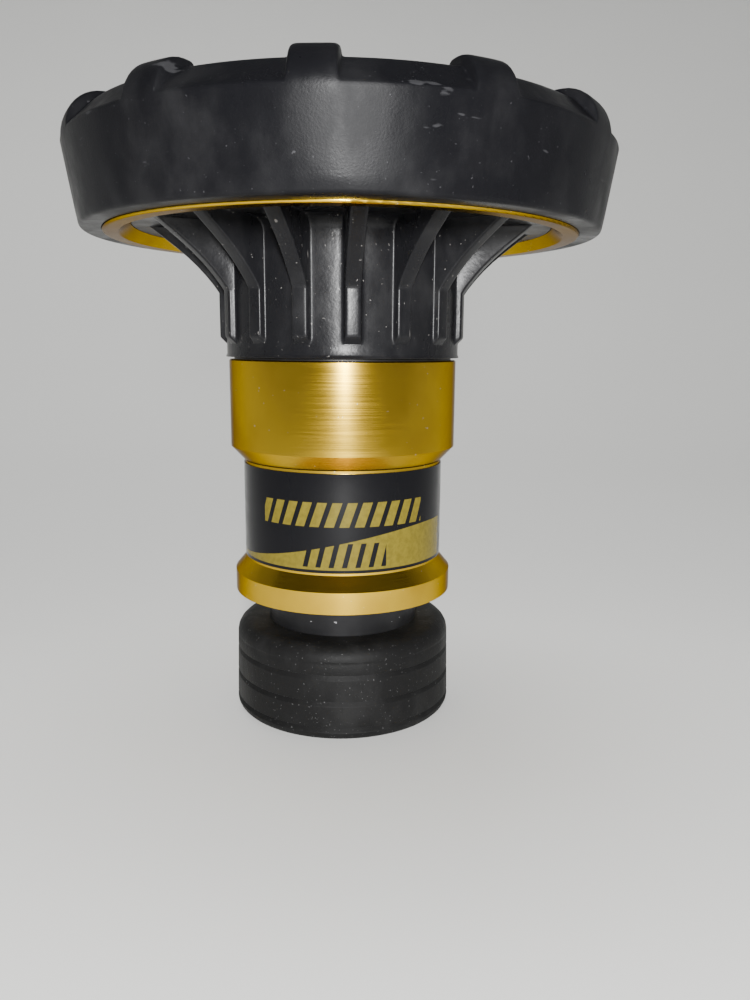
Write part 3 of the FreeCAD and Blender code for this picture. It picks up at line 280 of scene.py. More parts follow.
sealLook = {
    "colour": (0.012, 0.012, 0.012), "wornColour": (0.022, 0.022, 0.022), "dustColour": (0.08, 0.08, 0.08),
    "skin": 1800.0, "rubs": 200.0, "dust": 1200.0, "dustFrom": 0.78,
    "scratches": 200.0, "scratchRun": (1.0, 1.0, 1.0), "scratchFrom": 0.80,
    "smooth": 0.35, "rough": 0.5, "skinStrength": 0.08, "skinDepth": 0.0002,
}
bearingLook = {
    "colour": (0.010, 0.010, 0.011), "wornColour": (0.016, 0.016, 0.017), "dustColour": (0.06, 0.06, 0.06),
    "specular": 0.20, "skin": 1200.0, "rubs": 150.0, "dust": 900.0, "dustFrom": 0.76,
    "scratches": 200.0, "scratchRun": (0.4, 0.4, 3.0), "scratchFrom": 0.78,
    "smooth": 0.35, "rough": 0.5, "skinStrength": 0.08, "skinDepth": 0.0002,
}
blackMetalLook = {
    "colour": (0.014, 0.014, 0.015), "deepColour": (0.022, 0.022, 0.023), "nickColour": (0.24, 0.24, 0.25),
    "metal": 0.4, "specular": 0.12, "lines": 2000.0, "cloud": 90.0, "nicks": 500.0,
    "smooth": 0.30, "rough": 0.44, "lineStrength": 0.2, "lineDepth": 0.00005,
}
steelLook = {
    "colour": (0.60, 0.59, 0.57), "deepColour": (0.50, 0.49, 0.47), "nickColour": (0.30, 0.28, 0.26),
    "metal": 1.0, "lines": 2200.0, "cloud": 140.0, "nicks": 500.0,
    "smooth": 0.16, "rough": 0.32, "lineStrength": 0.15, "lineDepth": 0.00004,
}
brassLook = {
    "colour": (0.66, 0.46, 0.17), "deepColour": (0.50, 0.33, 0.11), "nickColour": (0.34, 0.22, 0.09),
    "metal": 1.0, "lines": 2000.0, "cloud": 120.0, "nicks": 450.0,
    "smooth": 0.22, "rough": 0.4, "lineStrength": 0.25, "lineDepth": 0.00005,
}
labelLow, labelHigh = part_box("label_band")
labelLook = {
    "colour": (0.004, 0.004, 0.005), "ink": (0.15, 0.118, 0.014), "wornInk": (0.115, 0.09, 0.011),
    "specular": 0.10, "coat": 0.08, "coatRoughness": 0.06, "smooth": 0.14, "rough": 0.26,
    "radius": labelHigh.x, "bottom": labelLow.z, "softEdge": 0.00006, "barSoftEdge": 0.00008,
    "wedgeFrom": -0.034, "wedgeTo": 0.024, "wedgeRise": 0.0085, "wedgeLow": 0.0015, "lineHeight": 0.0007,
    "wedgeStart": -0.036, "wedgeEnd": 0.030,
    "tickPitch": 0.0030, "tickWidth": 0.0011, "tickLean": -0.25, "tickFrom": -0.010, "tickTo": 0.010,
    "tickLow": 0.0013, "tickHigh": 0.0068,
    "barPitch": 0.0034, "barWidth": 0.0021, "barLean": -0.35, "barFrom": -0.020, "barTo": 0.020,
    "barLow": 0.0105, "barHigh": 0.0160,
}
finishes = {
    "gold_anodised": turnedMetal("goldAnodised", goldLook),
    "black_anodised": turnedMetal("blackAnodised", blackMetalLook),
    "sleeve_rubber": mouldedBlack("sleeveRubber", sleeveLook),
    "bumper_rubber": mouldedBlack("bumperRubber", bumperLook),
    "seal_rubber": mouldedBlack("sealRubber", sealLook),
    "grip_plastic": mouldedBlack("gripNylon", gripLook),
    "bearing_plastic": mouldedBlack("bearingAcetal", bearingLook),
    "label_black": printedLabel("labelFilm", labelLook),
    "stainless": turnedMetal("stainlessSteel", steelLook),
    "brass": turnedMetal("machinedBrass", brassLook),
}
slotOf = {part["node"]: part["material_slot"] for part in frame["record"]["subparts"]}
for nodeName, cadObject in frame["nodes"].items():
    cadObject.data.materials.clear()
    cadObject.data.materials.append(finishes[slotOf[nodeName]])
print("finishes made:", len(finishes))


# shaping helpers

def roundedPath(corners, steps=4):
    # corners are (radius, height) or (radius, height, rounding) in millimetres, closed
    path = []
    for index, corner in enumerate(corners):
        here = Vector(corner[:2])
        rounding = corner[2] if len(corner) > 2 else 0.0
        if rounding <= 0.0:
            path.append(here * mm)
            continue
        before = Vector(corners[index - 1][:2]) - here
        after = Vector(corners[(index + 1) % len(corners)][:2]) - here
        before.normalize()
        after.normalize()
        half = before.angle(after) / 2
        setback = rounding / math.tan(half)
        centre = here + (before + after).normalized() * (rounding / math.sin(half))
        start = here + before * setback - centre
        end = here + after * setback - centre
        first = math.atan2(start.y, start.x)
        sweep = math.remainder(math.atan2(end.y, end.x) - first, 2 * math.pi)
        for step in range(steps + 1):
            angle = first + sweep * step / steps
            path.append((centre + Vector((math.cos(angle), math.sin(angle))) * rounding) * mm)
    return path


def softened(piece, degrees=32.0):
    # smooth faces with crisp edges past the given angle, all facing outwards
    mesh = piece.data
    shape = bmesh.new()
    shape.from_mesh(mesh)
    bmesh.ops.remove_doubles(shape, verts=shape.verts, dist=1e-6)
    bmesh.ops.dissolve_degenerate(shape, edges=shape.edges, dist=1e-7)
    bmesh.ops.recalc_face_normals(shape, faces=shape.faces)
    shape.to_mesh(mesh)
    shape.free()
    mesh.shade_smooth()
    mesh.set_sharp_from_angle(angle=math.radians(degrees))
    return piece


def pieceFrom(name, shape, finish):
    mesh = bpy.data.meshes.new(name)
    shape.to_mesh(mesh)
    shape.free()
    mesh.materials.append(finish)
    piece = bpy.data.objects.new(name, mesh)
    scene.collection.objects.link(piece)
    return piece


def skinRings(shape, rings, around, closed=False):
    # faces between neighbouring rings of points; a ring of one point is a pole
    pairs = list(zip(rings, rings[1:]))
    if closed:
        pairs.append((rings[-1], rings[0]))
    for ring, following in pairs:
        if len(ring) == 1 and len(following) == 1:
            continue
        for side in range(around):
            beside = (side + 1) % around
            faceCorners = [ring[side % len(ring)], ring[beside % len(ring)],
                           following[beside % len(following)], following[side % len(following)]]
            shape.faces.new(list(dict.fromkeys(faceCorners)))


def turnedShape(corners, around=192, steps=4, swell=None):
    # an outline turned round the axis; swell(angle, radius, height) moves its skin out
    shape = bmesh.new()
    rings = []
    for radius, height in roundedPath(corners, steps):
        if radius < 1e-7:
            rings.append([shape.verts.new((0.0, 0.0, height))])
            continue
        ring = []
        for index in range(around):
            angle = 2 * math.pi * index / around
            reach = radius + (swell(angle, radius, height) if swell else 0.0)
            ring.append(shape.verts.new((reach * math.cos(angle), reach * math.sin(angle), height)))
        rings.append(ring)
    skinRings(shape, rings, around, closed=True)
    return shape


def sectorShape(rows, columns, sectors, panels=5):
    # one sector of a ring: rows are (base point, crown point) in millimetres along a closed
    # outline, columns say how far out from the middle and how far below the crown or above
    # the base each one runs
    shape = bmesh.new()
    half = math.pi / sectors
    lines = []
    for base, crown in rows:
        line = []
        reachBase, lift = base[0] * mm, base[1] * mm
        reachCrown, liftCrown = crown[0] * mm, crown[1] * mm
        edge = columns[-1][0] * mm
        for offset, start, drop in columns:
            aside = offset * mm
            low = Vector((math.sqrt(reachBase ** 2 - aside ** 2), aside, lift))
            top = Vector((math.sqrt(reachCrown ** 2 - aside ** 2), aside, liftCrown))
            depth = (top - low).length
            if depth < 1e-7:
                line.append(low)
                continue
            share = min(1.0, depth / (1.2 * mm)) * drop * mm / depth
            line.append(top.lerp(low, share) if start == "crown" else low.lerp(top, share))
        first = math.asin(edge / reachBase)
        for step in range(1, panels + 1):
            angle = first + (half - first) * step / panels
            line.append(Vector((reachBase * math.cos(angle), reachBase * math.sin(angle), lift)))
        mirrored = [Vector((point.x, -point.y, point.z)) for point in reversed(line[1:])]
        lines.append([shape.verts.new(point) for point in mirrored + line])
    for index, line in enumerate(lines):
        above = lines[(index + 1) % len(lines)]
        for side in range(len(line) - 1):
            shape.faces.new((line[side], line[side + 1], above[side + 1], above[side]))
    return shape


def roundAxisTree():
    # copies of one piece turned evenly round the axis, welded where they meet
    tree = bpy.data.node_groups.new("copiesRoundAxis", "GeometryNodeTree")
    tree.interface.new_socket("Piece", in_out="INPUT", socket_type="NodeSocketGeometry")
    tree.interface.new_socket("Copies", in_out="INPUT", socket_type="NodeSocketInt")
    tree.interface.new_socket("First angle", in_out="INPUT", socket_type="NodeSocketFloat")
    tree.interface.new_socket("Weld distance", in_out="INPUT", socket_type="NodeSocketFloat")
    tree.interface.new_socket("Finish", in_out="INPUT", socket_type="NodeSocketMaterial")
    tree.interface.new_socket("Ring", in_out="OUTPUT", socket_type="NodeSocketGeometry")
    inward = addNode(tree, "NodeGroupInput", (-900, 0))
    outward = addNode(tree, "NodeGroupOutput", (700, 0))
    points = addNode(tree, "GeometryNodePoints", (-650, 200))
    number = addNode(tree, "GeometryNodeInputIndex", (-900, -300))
    share = mathNode(tree, (-650, -250), "DIVIDE", 2 * math.pi, inward.outputs["Copies"])
    turn = mathNode(tree, (-450, -250), "MULTIPLY", number.outputs[0], share)
    turn = mathNode(tree, (-300, -250), "ADD", turn, inward.outputs["First angle"])
    spin = addNode(tree, "ShaderNodeCombineXYZ", (-150, -250))
    placed = addNode(tree, "GeometryNodeInstanceOnPoints", (50, 0))
    real = addNode(tree, "GeometryNodeRealizeInstances", (230, 0))
    weld = addNode(tree, "GeometryNodeMergeByDistance", (400, 0))
    coat = addNode(tree, "GeometryNodeSetMaterial", (550, 0))
    link = tree.links.new
    link(inward.outputs["Copies"], points.inputs["Count"])
    link(turn, spin.inputs["Z"])
    link(points.outputs[0], placed.inputs["Points"])
    link(inward.outputs["Piece"], placed.inputs["Instance"])
    link(spin.outputs[0], placed.inputs["Rotation"])
    link(placed.outputs[0], real.inputs[0])
    link(real.outputs[0], weld.inputs["Geometry"])
    link(inward.outputs["Weld distance"], weld.inputs["Distance"])
    link(weld.outputs[0], coat.inputs["Geometry"])
    link(inward.outputs["Finish"], coat.inputs["Material"])
    link(coat.outputs[0], outward.inputs[0])
    return tree


copiesRoundAxis = roundAxisTree()


def plainMesh(piece):
    # the modifiers' result as the piece's own mesh
    bpy.context.view_layer.update()
    graph = bpy.context.evaluated_depsgraph_get()
    result = bpy.data.meshes.new_from_object(piece.evaluated_get(graph))
    result.name = piece.name
    piece.modifiers.clear()
    piece.data = result
    return piece


def repeated(piece, copies, firstDegrees, finish, weld=0.000004):
    # runs the tree on one piece with its inputs set by their identifiers
    step = piece.modifiers.new("roundAxis", "NODES")
    step.node_group = copiesRoundAxis
    wanted = {"Copies": copies, "First angle": math.radians(firstDegrees),
              "Weld distance": weld, "Finish": finish}
    for item in copiesRoundAxis.interface.items_tree:
        if item.name in wanted:
            step[item.identifier] = wanted[item.name]
    return plainMesh(piece)


def fitted(piece, body, slotName, *nodes):
    # rides on its body and stands for the CAD nodes it was made from
    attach(piece, body)
    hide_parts(*nodes)
    print(piece.name, "made:", len(piece.data.polygons), "faces")
    return piece


def alongLine(points, share):
    # the point that lies this share of the way along a run of points
    lengths = [(Vector(b) - Vector(a)).length for a, b in zip(points, points[1:])]
    left = share * sum(lengths)
    for index, length in enumerate(lengths):
        if left <= length or index == len(lengths) - 1:
            return Vector(points[index]).lerp(Vector(points[index + 1]), min(1.0, left / length))
        left -= length


# coupling sleeve

sleeveSizes = {
    "draft": 0.5, "frontRound": 3.5, "rearRound": 2.0, "bore": 22.0, "shoulder": 21.0, "hub": 18.5,
    "grooves": (2.9, 9.1, 15.3), "grooveWidth": 0.9, "grooveDepth": 0.5, "crease": 18.5,
    "seamAngle": -50.0, "seamHeight": 0.10,
}


def couplingSleeve(size):
    low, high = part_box("coupling_sleeve")
    rear, top, bottom = high.x / mm, high.z / mm, low.z / mm
    front = rear - size["draft"]
    taper = size["draft"] / (top - bottom)
    corners = [(size["bore"], bottom), (rear, bottom, size["rearRound"])]
    for middle in size["grooves"]:
        lower = middle - size["grooveWidth"] / 2
        upper = middle + size["grooveWidth"] / 2
        floor = front - size["grooveDepth"]
        corners += [
            (rear - taper * (lower - 0.35), lower - 0.35, 0.3),
            (floor, upper - 0.08, 0.06),
            (floor + 0.02, upper, 0.04),
            (rear - taper * upper, upper, 0.10),
        ]
    crease = size["crease"]
    corners += [
        (rear - taper * (crease - 0.35), crease - 0.35),
        (rear - taper * crease - 0.10, crease),
        (rear - taper * (crease + 0.25), crease + 0.25),
        (front, top, size["frontRound"]),
        (size["hub"], top),
        (size["hub"], size["shoulder"]),
        (size["bore"], size["shoulder"]),
    ]
    seam = math.radians(size["seamAngle"])

    def seamLine(angle, radius, height):
        # the thin line that the two halves of the mould leave on the outside
        away = min(abs(math.remainder(angle - seam, math.pi)) * radius, 0.001)
        outside = radius > (front - 0.7) * mm
        return size["seamHeight"] * mm * max(0.0, 1 - away / 0.0005) if outside else 0.0

    shape = turnedShape(corners, 384, 5, seamLine)
    return softened(pieceFrom("couplingSleeve", shape, finishes["sleeve_rubber"]), 40.0)


fitted(couplingSleeve(sleeveSizes), "coupling", "sleeve_rubber", "coupling_sleeve")


# grip neck with its flared ribs

gripSizes = {
    "neck": 27.4, "skirt": 27.67, "skirtEnd": 86.9, "ribs": 16, "ribPhase": 4.2,
    "ribStart": 89.1, "ribBevel": 1.5, "kink": 100.6, "fillet": 3.1, "flangeRear": 115.0, "flange": 47.8,
    "flare": (
        (28.9, 100.6), (30.0, 102.2), (31.6, 104.2), (33.6, 106.4),
        (35.8, 108.5), (38.3, 110.6), (41.0, 112.7), (44.0, 115.0),
    ),
    "columns": (
        (0.0, "crown", 0.0), (0.8, "crown", 0.0), (1.25, "crown", 0.02), (1.5, "crown", 0.09),
        (1.66, "crown", 0.22),
        (1.74, "crown", 0.42), (1.86, "base", 0.42), (1.98, "base", 0.18), (2.18, "base", 0.05),
        (2.45, "base", 0.0),
    ),
}


def gripRows(size):
    low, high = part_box("grip_neck")
    bottom, top = low.z / mm, high.z / mm
    neck, rear = size["neck"], size["flangeRear"]
    rib = neck + size["ribBevel"]
    rows = [((neck + 0.05, bottom), None), ((size["skirt"] - 0.05, bottom + 0.05), None),
            ((size["skirt"], bottom + 0.15), None),
            ((neck + 0.1, size["skirtEnd"] - 0.3), None), ((neck, size["skirtEnd"]), None),
            ((neck, size["ribStart"] - 0.15), None)]
    start = size["ribStart"]
    for rise in (0.0, 0.5, 1.0, 1.35):
        rows.append(((neck, start + rise), (neck + rise, start + rise)))
    rows.append(((neck, start + 1.62), (rib - 0.03, start + 1.62)))
    for level in (start + 2.1, start + 5.5, start + 9.0, size["kink"] - 0.5):
        rows.append(((neck, level), (rib, level)))
    bend = [(neck, size["kink"]), (neck, rear - size["fillet"])]
    for step in range(1, 7):
        angle = math.radians(90 * step / 6)
        bend.append((neck + size["fillet"] * (1 - math.cos(angle)),
                     rear - size["fillet"] * (1 - math.sin(angle))))
    bend.append((size["flare"][-1][0], rear))
    for step in range(0, 27):
        share = step / 26
        rows.append((tuple(alongLine(bend, share)), tuple(alongLine(size["flare"], share))))
    flange = size["flange"]
    rows += [((flange - 1.5, rear), None), ((flange - 0.25, rear), None), ((flange, rear + 0.25), None),
             ((flange, rear + 1.9), None), ((flange - 2.3, rear + 1.9), None), ((flange - 2.3, top), None),
             ((30.0, top), None), ((30.0, rear + 1.0), None), ((26.2, rear + 1.0), None),
             ((26.2, bottom), None)]
    return [(base, crown or base) for base, crown in rows]


def gripNeck(size):
    shape = sectorShape(gripRows(size), size["columns"], size["ribs"], 5)
    sector = pieceFrom("gripNeck", shape, finishes["grip_plastic"])
    ring = repeated(sector, size["ribs"], size["ribPhase"], finishes["grip_plastic"])
    return softened(ring, 38.0)


fitted(gripNeck(gripSizes), "head", "grip_plastic", "grip_neck")


# rubber bumper with its lugs

bumperSizes = {
    "lugs": 12, "lugPhase": -4.7, "rearRadius": 58.5, "shoulder": (61.2, 130.1), "front": 135.2,
    "chamfer": 5.1, "relief": 0.02,
    "lip": 50.0, "bowlTop": 130.0, "ringRadius": 53.8, "bead": 55.3, "beadLow": 117.2, "beadTop": 118.8,
    "beadSlope": 116.8,
    "columns": (
        (0.0, "crown", 0.0), (2.4, "crown", 0.0), (3.2, "crown", 0.03), (3.65, "crown", 0.13),
        (3.95, "crown", 0.33),
        (4.10, "crown", 0.6), (4.32, "base", 0.45), (4.45, "base", 0.22), (4.65, "base", 0.07),
        (5.0, "base", 0.0),
    ),
}


def bumperRows(size):
    low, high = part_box("bumper")
    bottom, top = low.z / mm, high.z / mm
    shoulder, level = size["shoulder"]
    rear, front = size["rearRadius"], size["front"]
    chamferEnd = shoulder - size["chamfer"]
    lean = (shoulder - rear) / (level - bottom)
    rows = [((53.9, bottom), None), ((rear - 1.0, bottom), None), ((rear - 0.45, bottom + 0.08), None),
            ((rear - 0.1, bottom + 0.35), None), ((rear + 0.08, bottom + 0.85), None)]
    for rise in (3.0, 6.0, 9.0, 12.0, 14.5, 15.8):
        rows.append(((rear + lean * rise, bottom + rise), None))
    reach = top - level
    chamfer = [(shoulder - 0.03, level - 0.25), (shoulder - 0.10, level + 0.08),
               (shoulder - 0.32, level + 0.36), (shoulder - 1.2, level + 1.22),
               (shoulder - 2.2, level + 2.2), (shoulder - 3.2, level + 3.2),
               (shoulder - 4.2, level + 4.2), (chamferEnd + 0.2, front - 0.25),
               (chamferEnd - 0.15, front - 0.06), (chamferEnd - 0.5, front), (54.4, front)]
    for index, base in enumerate(chamfer):
        angle = math.radians(90 * index / (len(chamfer) - 1))
        crown = (shoulder - reach * (1 - math.cos(angle)) - size["relief"], level + reach * math.sin(angle))
        rows.append((base, crown))
    rows += [((53.5, front), (52.8, top)), ((52.6, front), (52.2, top - 0.03)),
             ((52.0, front), (51.75, top - 0.25)),
             ((51.6, front), (51.55, top - 0.7)), ((51.3, front), (51.4, front + 0.3)),
             ((51.0, front), None)]
    lip = size["lip"]
    rows += [((lip + 0.6, front), None), ((lip + 0.18, front - 0.12), None), ((lip, front - 0.55), None),
             ((lip, size["bowlTop"]), None), ((size["ringRadius"], size["bowlTop"]), None),
             ((size["ringRadius"], size["beadTop"]), None), ((size["bead"], size["beadTop"]), None),
             ((size["bead"], size["beadLow"]), None), ((size["ringRadius"], size["beadSlope"]), None)]
    return [(base, crown or base) for base, crown in rows]


def bumperRing(size):
    shape = sectorShape(bumperRows(size), size["columns"], size["lugs"], 8)
    sector = pieceFrom("bumperRing", shape, finishes["bumper_rubber"])
    ring = repeated(sector, size["lugs"], size["lugPhase"], finishes["bumper_rubber"])
    return softened(ring, 42.0)


fitted(bumperRing(bumperSizes), "head", "bumper_rubber", "bumper")


# fog teeth

toothSizes = {
    "teeth": 24, "toothPhase": -4.7, "inner": 46.0, "outer": 50.0,
    "columns": (
        (0.0, "crown", 0.0), (0.9, "crown", 0.0), (1.25, "crown", 0.06), (1.45, "crown", 0.22),
        (1.55, "crown", 0.45),
        (1.62, "base", 0.3), (1.70, "base", 0.1), (1.85, "base", 0.0),
    ),
}


def toothRows(size):
    low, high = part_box("tooth_ring")
    bottom, tip = low.z / mm, high.z / mm
    top = bottom + 3.5
    inner, outer = size["inner"], size["outer"]
    rows = [((outer, bottom), None), ((outer, top - 0.2), None), ((outer - 0.06, top - 0.05), None),
            ((outer - 0.2, top), None),
            ((outer - 0.5, top), (outer - 0.42, top + 0.3)),
            ((outer - 0.8, top), (outer - 0.42, top + 2.6)),
            ((outer - 1.1, top), (outer - 0.55, top + 2.95)),
            ((outer - 1.5, top), (outer - 1.0, top + 3.2)),
            ((inner + 1.5, top), (inner + 1.3, tip - 0.1)),
            ((inner + 1.1, top), (inner + 0.8, tip)),
            ((inner + 0.8, top), (inner + 0.5, tip - 0.3)),
            ((inner + 0.5, top), (inner + 0.42, top + 0.3)),
            ((inner + 0.2, top), None), ((inner + 0.06, top - 0.05), None), ((inner, top - 0.2), None),
            ((inner, bottom), None)]
    return [(base, crown or base) for base, crown in rows]


def toothRing(size):
    shape = sectorShape(toothRows(size), size["columns"], size["teeth"], 4)
    sector = pieceFrom("toothRing", shape, finishes[slotOf["tooth_ring"]])
    ring = repeated(sector, size["teeth"], size["toothPhase"], finishes[slotOf["tooth_ring"]])
    return softened(ring, 35.0)


fitted(toothRing(toothSizes), "head", slotOf["tooth_ring"], "tooth_ring")


# socket screws in the bowl

screwSizes = {
    "screws": 6, "phase": 4.2, "circle": 37.75, "headRadius": 3.4, "headHeight": 3.0, "headBevel": 0.35,
    "socketAcross": 3.0, "socketDepth": 1.4, "shankRadius": 2.0, "thread": 0.5,
}


def bowlScrews(size):
    # one screw, its socket six-sided, repeated on the screw circle
    low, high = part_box("bowl_screws")
    bottom, top = low.z / mm, high.z / mm
    seat = top - size["headHeight"]
    head, bevel, shank = size["headRadius"], size["headBevel"], size["shankRadius"]
    socket = size["socketAcross"] / 2
    floor = top - size["socketDepth"]
    outline = [(0.0, floor - 0.5, False), (socket, floor, True), (socket, top - 0.2, True),
               (socket * 1.22, top - 0.02, False),
               (head - bevel - 0.2, top, False), (head - bevel, top - 0.06, False),
               (head - 0.08, top - bevel, False), (head, top - bevel - 0.2, False),
               (head, seat + 0.1, False), (head - 0.1, seat, False), (shank, seat, False)]
    level = seat - 1.2
    while level - size["thread"] > bottom + 0.4:
        outline += [(shank, level, False), (shank - 0.28, level - size["thread"] / 2, False)]
        level -= size["thread"]
    outline += [(shank, level, False), (shank - 0.4, bottom, False), (0.0, bottom, False)]
    shape = bmesh.new()
    rings = []
    around = 48
    for radius, height, sixSided in outline:
        if radius == 0.0:
            rings.append([shape.verts.new((size["circle"] * mm, 0.0, height * mm))])
            continue
        ring = []
        for index in range(around):
            angle = 2 * math.pi * index / around
            flat = math.remainder(angle - math.pi / 6, math.pi / 3)
            reach = radius / math.cos(flat) if sixSided else radius
            outward = (size["circle"] + reach * math.cos(angle)) * mm
            ring.append(shape.verts.new((outward, reach * math.sin(angle) * mm, height * mm)))
        rings.append(ring)
    skinRings(shape, rings, around)
    screw = pieceFrom("bowlScrews", shape, finishes["stainless"])
    return softened(repeated(screw, size["screws"], size["phase"], finishes["stainless"]), 35.0)


fitted(bowlScrews(screwSizes), "head", "stainless", "bowl_screws")


# coupling nut with its hose thread

nutSizes = {
    "outer": 22.0, "hub": 18.5, "shoulder": 21.0, "bore": 16.05, "seat": 18.0, "seatLow": 12.5,
    "seatTop": 15.5,
    "race": 18.64, "raceRadius": 1.63, "crest": 15.6, "root": 17.0, "threadEnd": 10.9,
    "pitch": 3.175, "turns": 2.75, "threadStart": 1.5, "ridgeRoot": 2.4, "ridgeCrest": 0.7,
    "ridgeSink": 0.1,
}


def threadTree():
    # a ridge swept along a helix, wound round the axis
    tree = bpy.data.node_groups.new("hoseThread", "GeometryNodeTree")
    for label in ("Radius", "Pitch", "Turns", "Start height", "Ridge depth", "Ridge root", "Ridge crest"):
        tree.interface.new_socket(label, in_out="INPUT", socket_type="NodeSocketFloat")
    tree.interface.new_socket("Finish", in_out="INPUT", socket_type="NodeSocketMaterial")
    tree.interface.new_socket("Thread", in_out="OUTPUT", socket_type="NodeSocketGeometry")
    inward = addNode(tree, "NodeGroupInput", (-900, 0))
    outward = addNode(tree, "NodeGroupOutput", (900, 0))
    helix = addNode(tree, "GeometryNodeCurveSpiral", (-600, 200), Resolution=96)
    upright = addNode(tree, "GeometryNodeSetCurveNormal", (-400, 200))
    if "Mode" in upright.inputs:
        upright.inputs["Mode"].default_value = "Z Up"
    else:
        upright.mode = "Z_UP"
    ridge = addNode(tree, "GeometryNodeCurvePrimitiveQuadrilateral", (-600, -200))
    ridge.mode = "TRAPEZOID"
    sweep = addNode(tree, "GeometryNodeCurveToMesh", (100, 100))
    lift = addNode(tree, "GeometryNodeTransform", (300, 100))
    offset = addNode(tree, "ShaderNodeCombineXYZ", (100, -150))
    real = addNode(tree, "GeometryNodeRealizeInstances", (500, 100))
    coat = addNode(tree, "GeometryNodeSetMaterial", (700, 100))
    link = tree.links.new
    height = mathNode(tree, (-750, 350), "MULTIPLY", inward.outputs["Pitch"], inward.outputs["Turns"])
    link(inward.outputs["Turns"], helix.inputs["Rotations"])
    link(inward.outputs["Radius"], helix.inputs["Start Radius"])
    link(inward.outputs["Radius"], helix.inputs["End Radius"])
    link(height, helix.inputs["Height"])
    link(helix.outputs[0], upright.inputs[0])
    link(inward.outputs["Ridge root"], ridge.inputs["Bottom Width"])
    link(inward.outputs["Ridge crest"], ridge.inputs["Top Width"])
    link(inward.outputs["Ridge depth"], ridge.inputs["Height"])
    ridge.inputs["Offset"].default_value = 0.0
    quarter = addNode(tree, "GeometryNodeTransform", (-350, -200))
    quarter.inputs["Rotation"].default_value = (0.0, 0.0, math.radians(90))
    link(ridge.outputs[0], quarter.inputs["Geometry"])
    link(upright.outputs[0], sweep.inputs["Curve"])
    link(quarter.outputs[0], sweep.inputs["Profile Curve"])
    sweep.inputs["Fill Caps"].default_value = True
    link(inward.outputs["Start height"], offset.inputs["Z"])
    link(sweep.outputs[0], lift.inputs["Geometry"])
    link(offset.outputs[0], lift.inputs["Translation"])
    link(lift.outputs[0], real.inputs[0])
    link(real.outputs[0], coat.inputs["Geometry"])
    link(inward.outputs["Finish"], coat.inputs["Material"])
    link(coat.outputs[0], outward.inputs[0])
    return tree


def couplingNut(size):
    low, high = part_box("coupling_nut")
    bottom, top = low.z / mm, high.z / mm
    corners = [(size["root"] + 0.35, bottom), (size["outer"], bottom),
               (size["outer"], size["shoulder"]), (size["hub"], size["shoulder"]),
               (size["hub"] - 0.01, top - 0.3), (size["hub"] - 0.3, top), (size["bore"] + 0.2, top),
               (size["bore"], top - 0.2)]
    for step in range(9):
        angle = math.radians(90 - 180 * step / 8)
        reach, rise = size["raceRadius"] * math.cos(angle), size["raceRadius"] * math.sin(angle)
        corners.append((size["bore"] + reach, size["race"] + rise))
    corners += [(size["bore"], size["seatTop"]), (size["seat"], size["seatTop"]),
                (size["seat"], size["seatLow"]),
                (size["crest"] + 0.3, size["seatLow"]), (size["crest"], size["seatLow"] - 0.3),
                (size["crest"], size["threadEnd"]),
                (size["root"], size["threadEnd"] - 0.5), (size["root"], bottom + 0.5)]
    nut = softened(pieceFrom("couplingNut", turnedShape(corners, 192, 3), finishes["black_anodised"]), 32.0)
    blank = bpy.data.objects.new("hoseThread", bpy.data.meshes.new("hoseThread"))
    scene.collection.objects.link(blank)
    tree = threadTree()
    winding = blank.modifiers.new("thread", "NODES")
    winding.node_group = tree
    wanted = {"Radius": (size["crest"] + size["root"]) / 2 * mm, "Pitch": size["pitch"] * mm,
              "Turns": size["turns"],
              "Start height": size["threadStart"] * mm,
              "Ridge depth": (size["root"] - size["crest"] + size["ridgeSink"]) * mm,
              "Ridge root": size["ridgeRoot"] * mm, "Ridge crest": size["ridgeCrest"] * mm,
              "Finish": finishes["black_anodised"]}
    for item in tree.interface.items_tree:
        if item.name in wanted:
            winding[item.identifier] = wanted[item.name]
    thread = softened(plainMesh(blank), 30.0)
    joined = bmesh.new()
    joined.from_mesh(nut.data)
    joined.from_mesh(thread.data)
    joined.to_mesh(nut.data)
    joined.free()
    bpy.data.objects.remove(thread)
    nut.data.shade_smooth()
    nut.data.set_sharp_from_angle(angle=math.radians(32.0))
    return nut


fitted(couplingNut(nutSizes), "coupling", "black_anodised", "coupling_nut")


# camera, light and floor

viewpoint = {"place": (0.0, -0.2015, 0.0890), "yaw": -2.26, "pitch": -10.64, "roll": -0.42, "lens": 29.7}
studio = {
    "floorColour": (0.80, 0.80, 0.78), "floorRadius": 0.55, "wallRadius": 1.6, "wallHeight": 1.4,
    "worldColour": (0.80, 0.82, 0.85), "worldStrength": 0.12,
    "flashPower": 4.2, "flashSize": (0.03, 0.07), "flashPlace": (0.012, -0.40, 0.135),
    "topPower": 9.0, "topSize": 0.8, "topPlace": (-0.1, 0.45, 1.0), "topAim": (0.0, 0.75, 0.1),
}


def placeCamera(view):
    yaw, pitch, roll = (math.radians(view[key]) for key in ("yaw", "pitch", "roll"))
    turn = Matrix.Rotation(yaw, 3, "Z") @ Matrix.Rotation(pitch, 3, "X") @ Matrix.Rotation(roll, 3, "Y")
    right, forward, up = (turn.col[index].copy() for index in range(3))
    lens = bpy.data.cameras.new("camera")
    lens.lens = view["lens"]
    lens.sensor_width = 36.0
    lens.clip_start = 0.005
    camera = bpy.data.objects.new("camera", lens)
    facing = Matrix((right, up, -forward)).transposed().to_4x4()
    camera.matrix_world = Matrix.Translation(view["place"]) @ facing
    scene.collection.objects.link(camera)
    scene.camera = camera


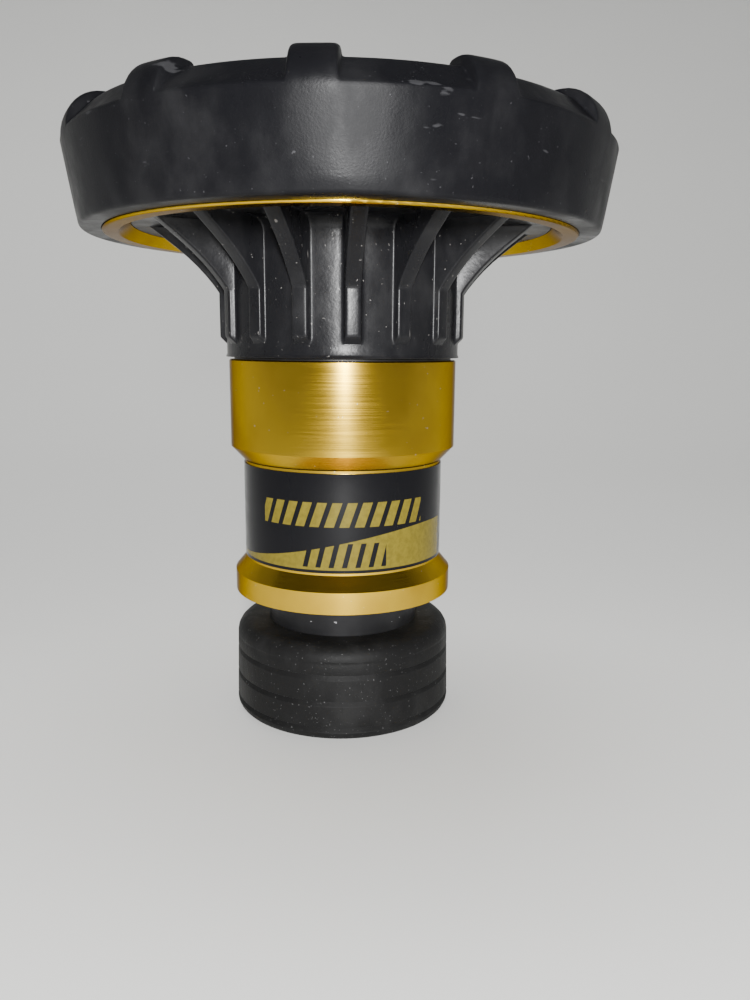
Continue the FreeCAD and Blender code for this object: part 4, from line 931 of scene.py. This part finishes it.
def areaLight(name, place, size, power, target, mirrored):
    lamp = bpy.data.lights.new(name, "AREA")
    lamp.energy = power
    if isinstance(size, tuple):
        lamp.shape = "RECTANGLE"
        lamp.size, lamp.size_y = size
    else:
        lamp.size = size
    piece = bpy.data.objects.new(name, lamp)
    piece.location = place
    piece.visible_glossy = mirrored
    piece.rotation_euler = (Vector(target) - Vector(place)).to_track_quat("-Z", "Y").to_euler()
    scene.collection.objects.link(piece)


def paleFloor(look):
    # a flat floor that bends up into a round wall far outside every view
    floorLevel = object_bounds()[0].z
    around = 72
    shape = bmesh.new()
    rings = []
    outline = [(0.0, 0.0)] + [(look["floorRadius"] * step / 6, 0.0) for step in range(1, 7)]
    for step in range(1, 13):
        angle = math.radians(90 * step / 12)
        radius = look["floorRadius"] + (look["wallRadius"] - look["floorRadius"]) * math.sin(angle)
        outline.append((radius, look["wallHeight"] * (1 - math.cos(angle))))
    for radius, height in outline:
        if radius == 0.0:
            rings.append([shape.verts.new((0.0, 0.0, floorLevel))])
            continue
        ring = []
        for index in range(around):
            turn = 2 * math.pi * index / around
            place = (radius * math.cos(turn), radius * math.sin(turn), floorLevel + height)
            ring.append(shape.verts.new(place))
        rings.append(ring)
    skinRings(shape, rings[::-1], around)
    material, tree, shader = newFinish("paleFloor", {"colour": look["floorColour"], "specular": 0.2})
    cloud = grain(tree, (-900, 0), 3.0, (1.0, 1.0, 1.0), 2.0)
    tint = blendColours(tree, (-400, 0), cloud, look["floorColour"],
                        tuple(0.96 * part for part in look["floorColour"]))
    tree.links.new(tint, shader.inputs["Base Color"])
    shader.inputs["Roughness"].default_value = 0.7
    floor = pieceFrom("paleFloor", shape, material)
    floor.data.shade_smooth()
    floor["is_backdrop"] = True


placeCamera(viewpoint)
middle = (0.0, 0.0, 0.07)
areaLight("flash", studio["flashPlace"], studio["flashSize"], studio["flashPower"], middle, True)
areaLight("topLight", studio["topPlace"], studio["topSize"], studio["topPower"], studio["topAim"], False)
paleFloor(studio)
world = bpy.data.worlds.new("studioWorld")
world.use_nodes = True
world.node_tree.nodes["Background"].inputs["Color"].default_value = (*studio["worldColour"], 1.0)
world.node_tree.nodes["Background"].inputs["Strength"].default_value = studio["worldStrength"]
scene.world = world
print("camera, lights and floor placed")
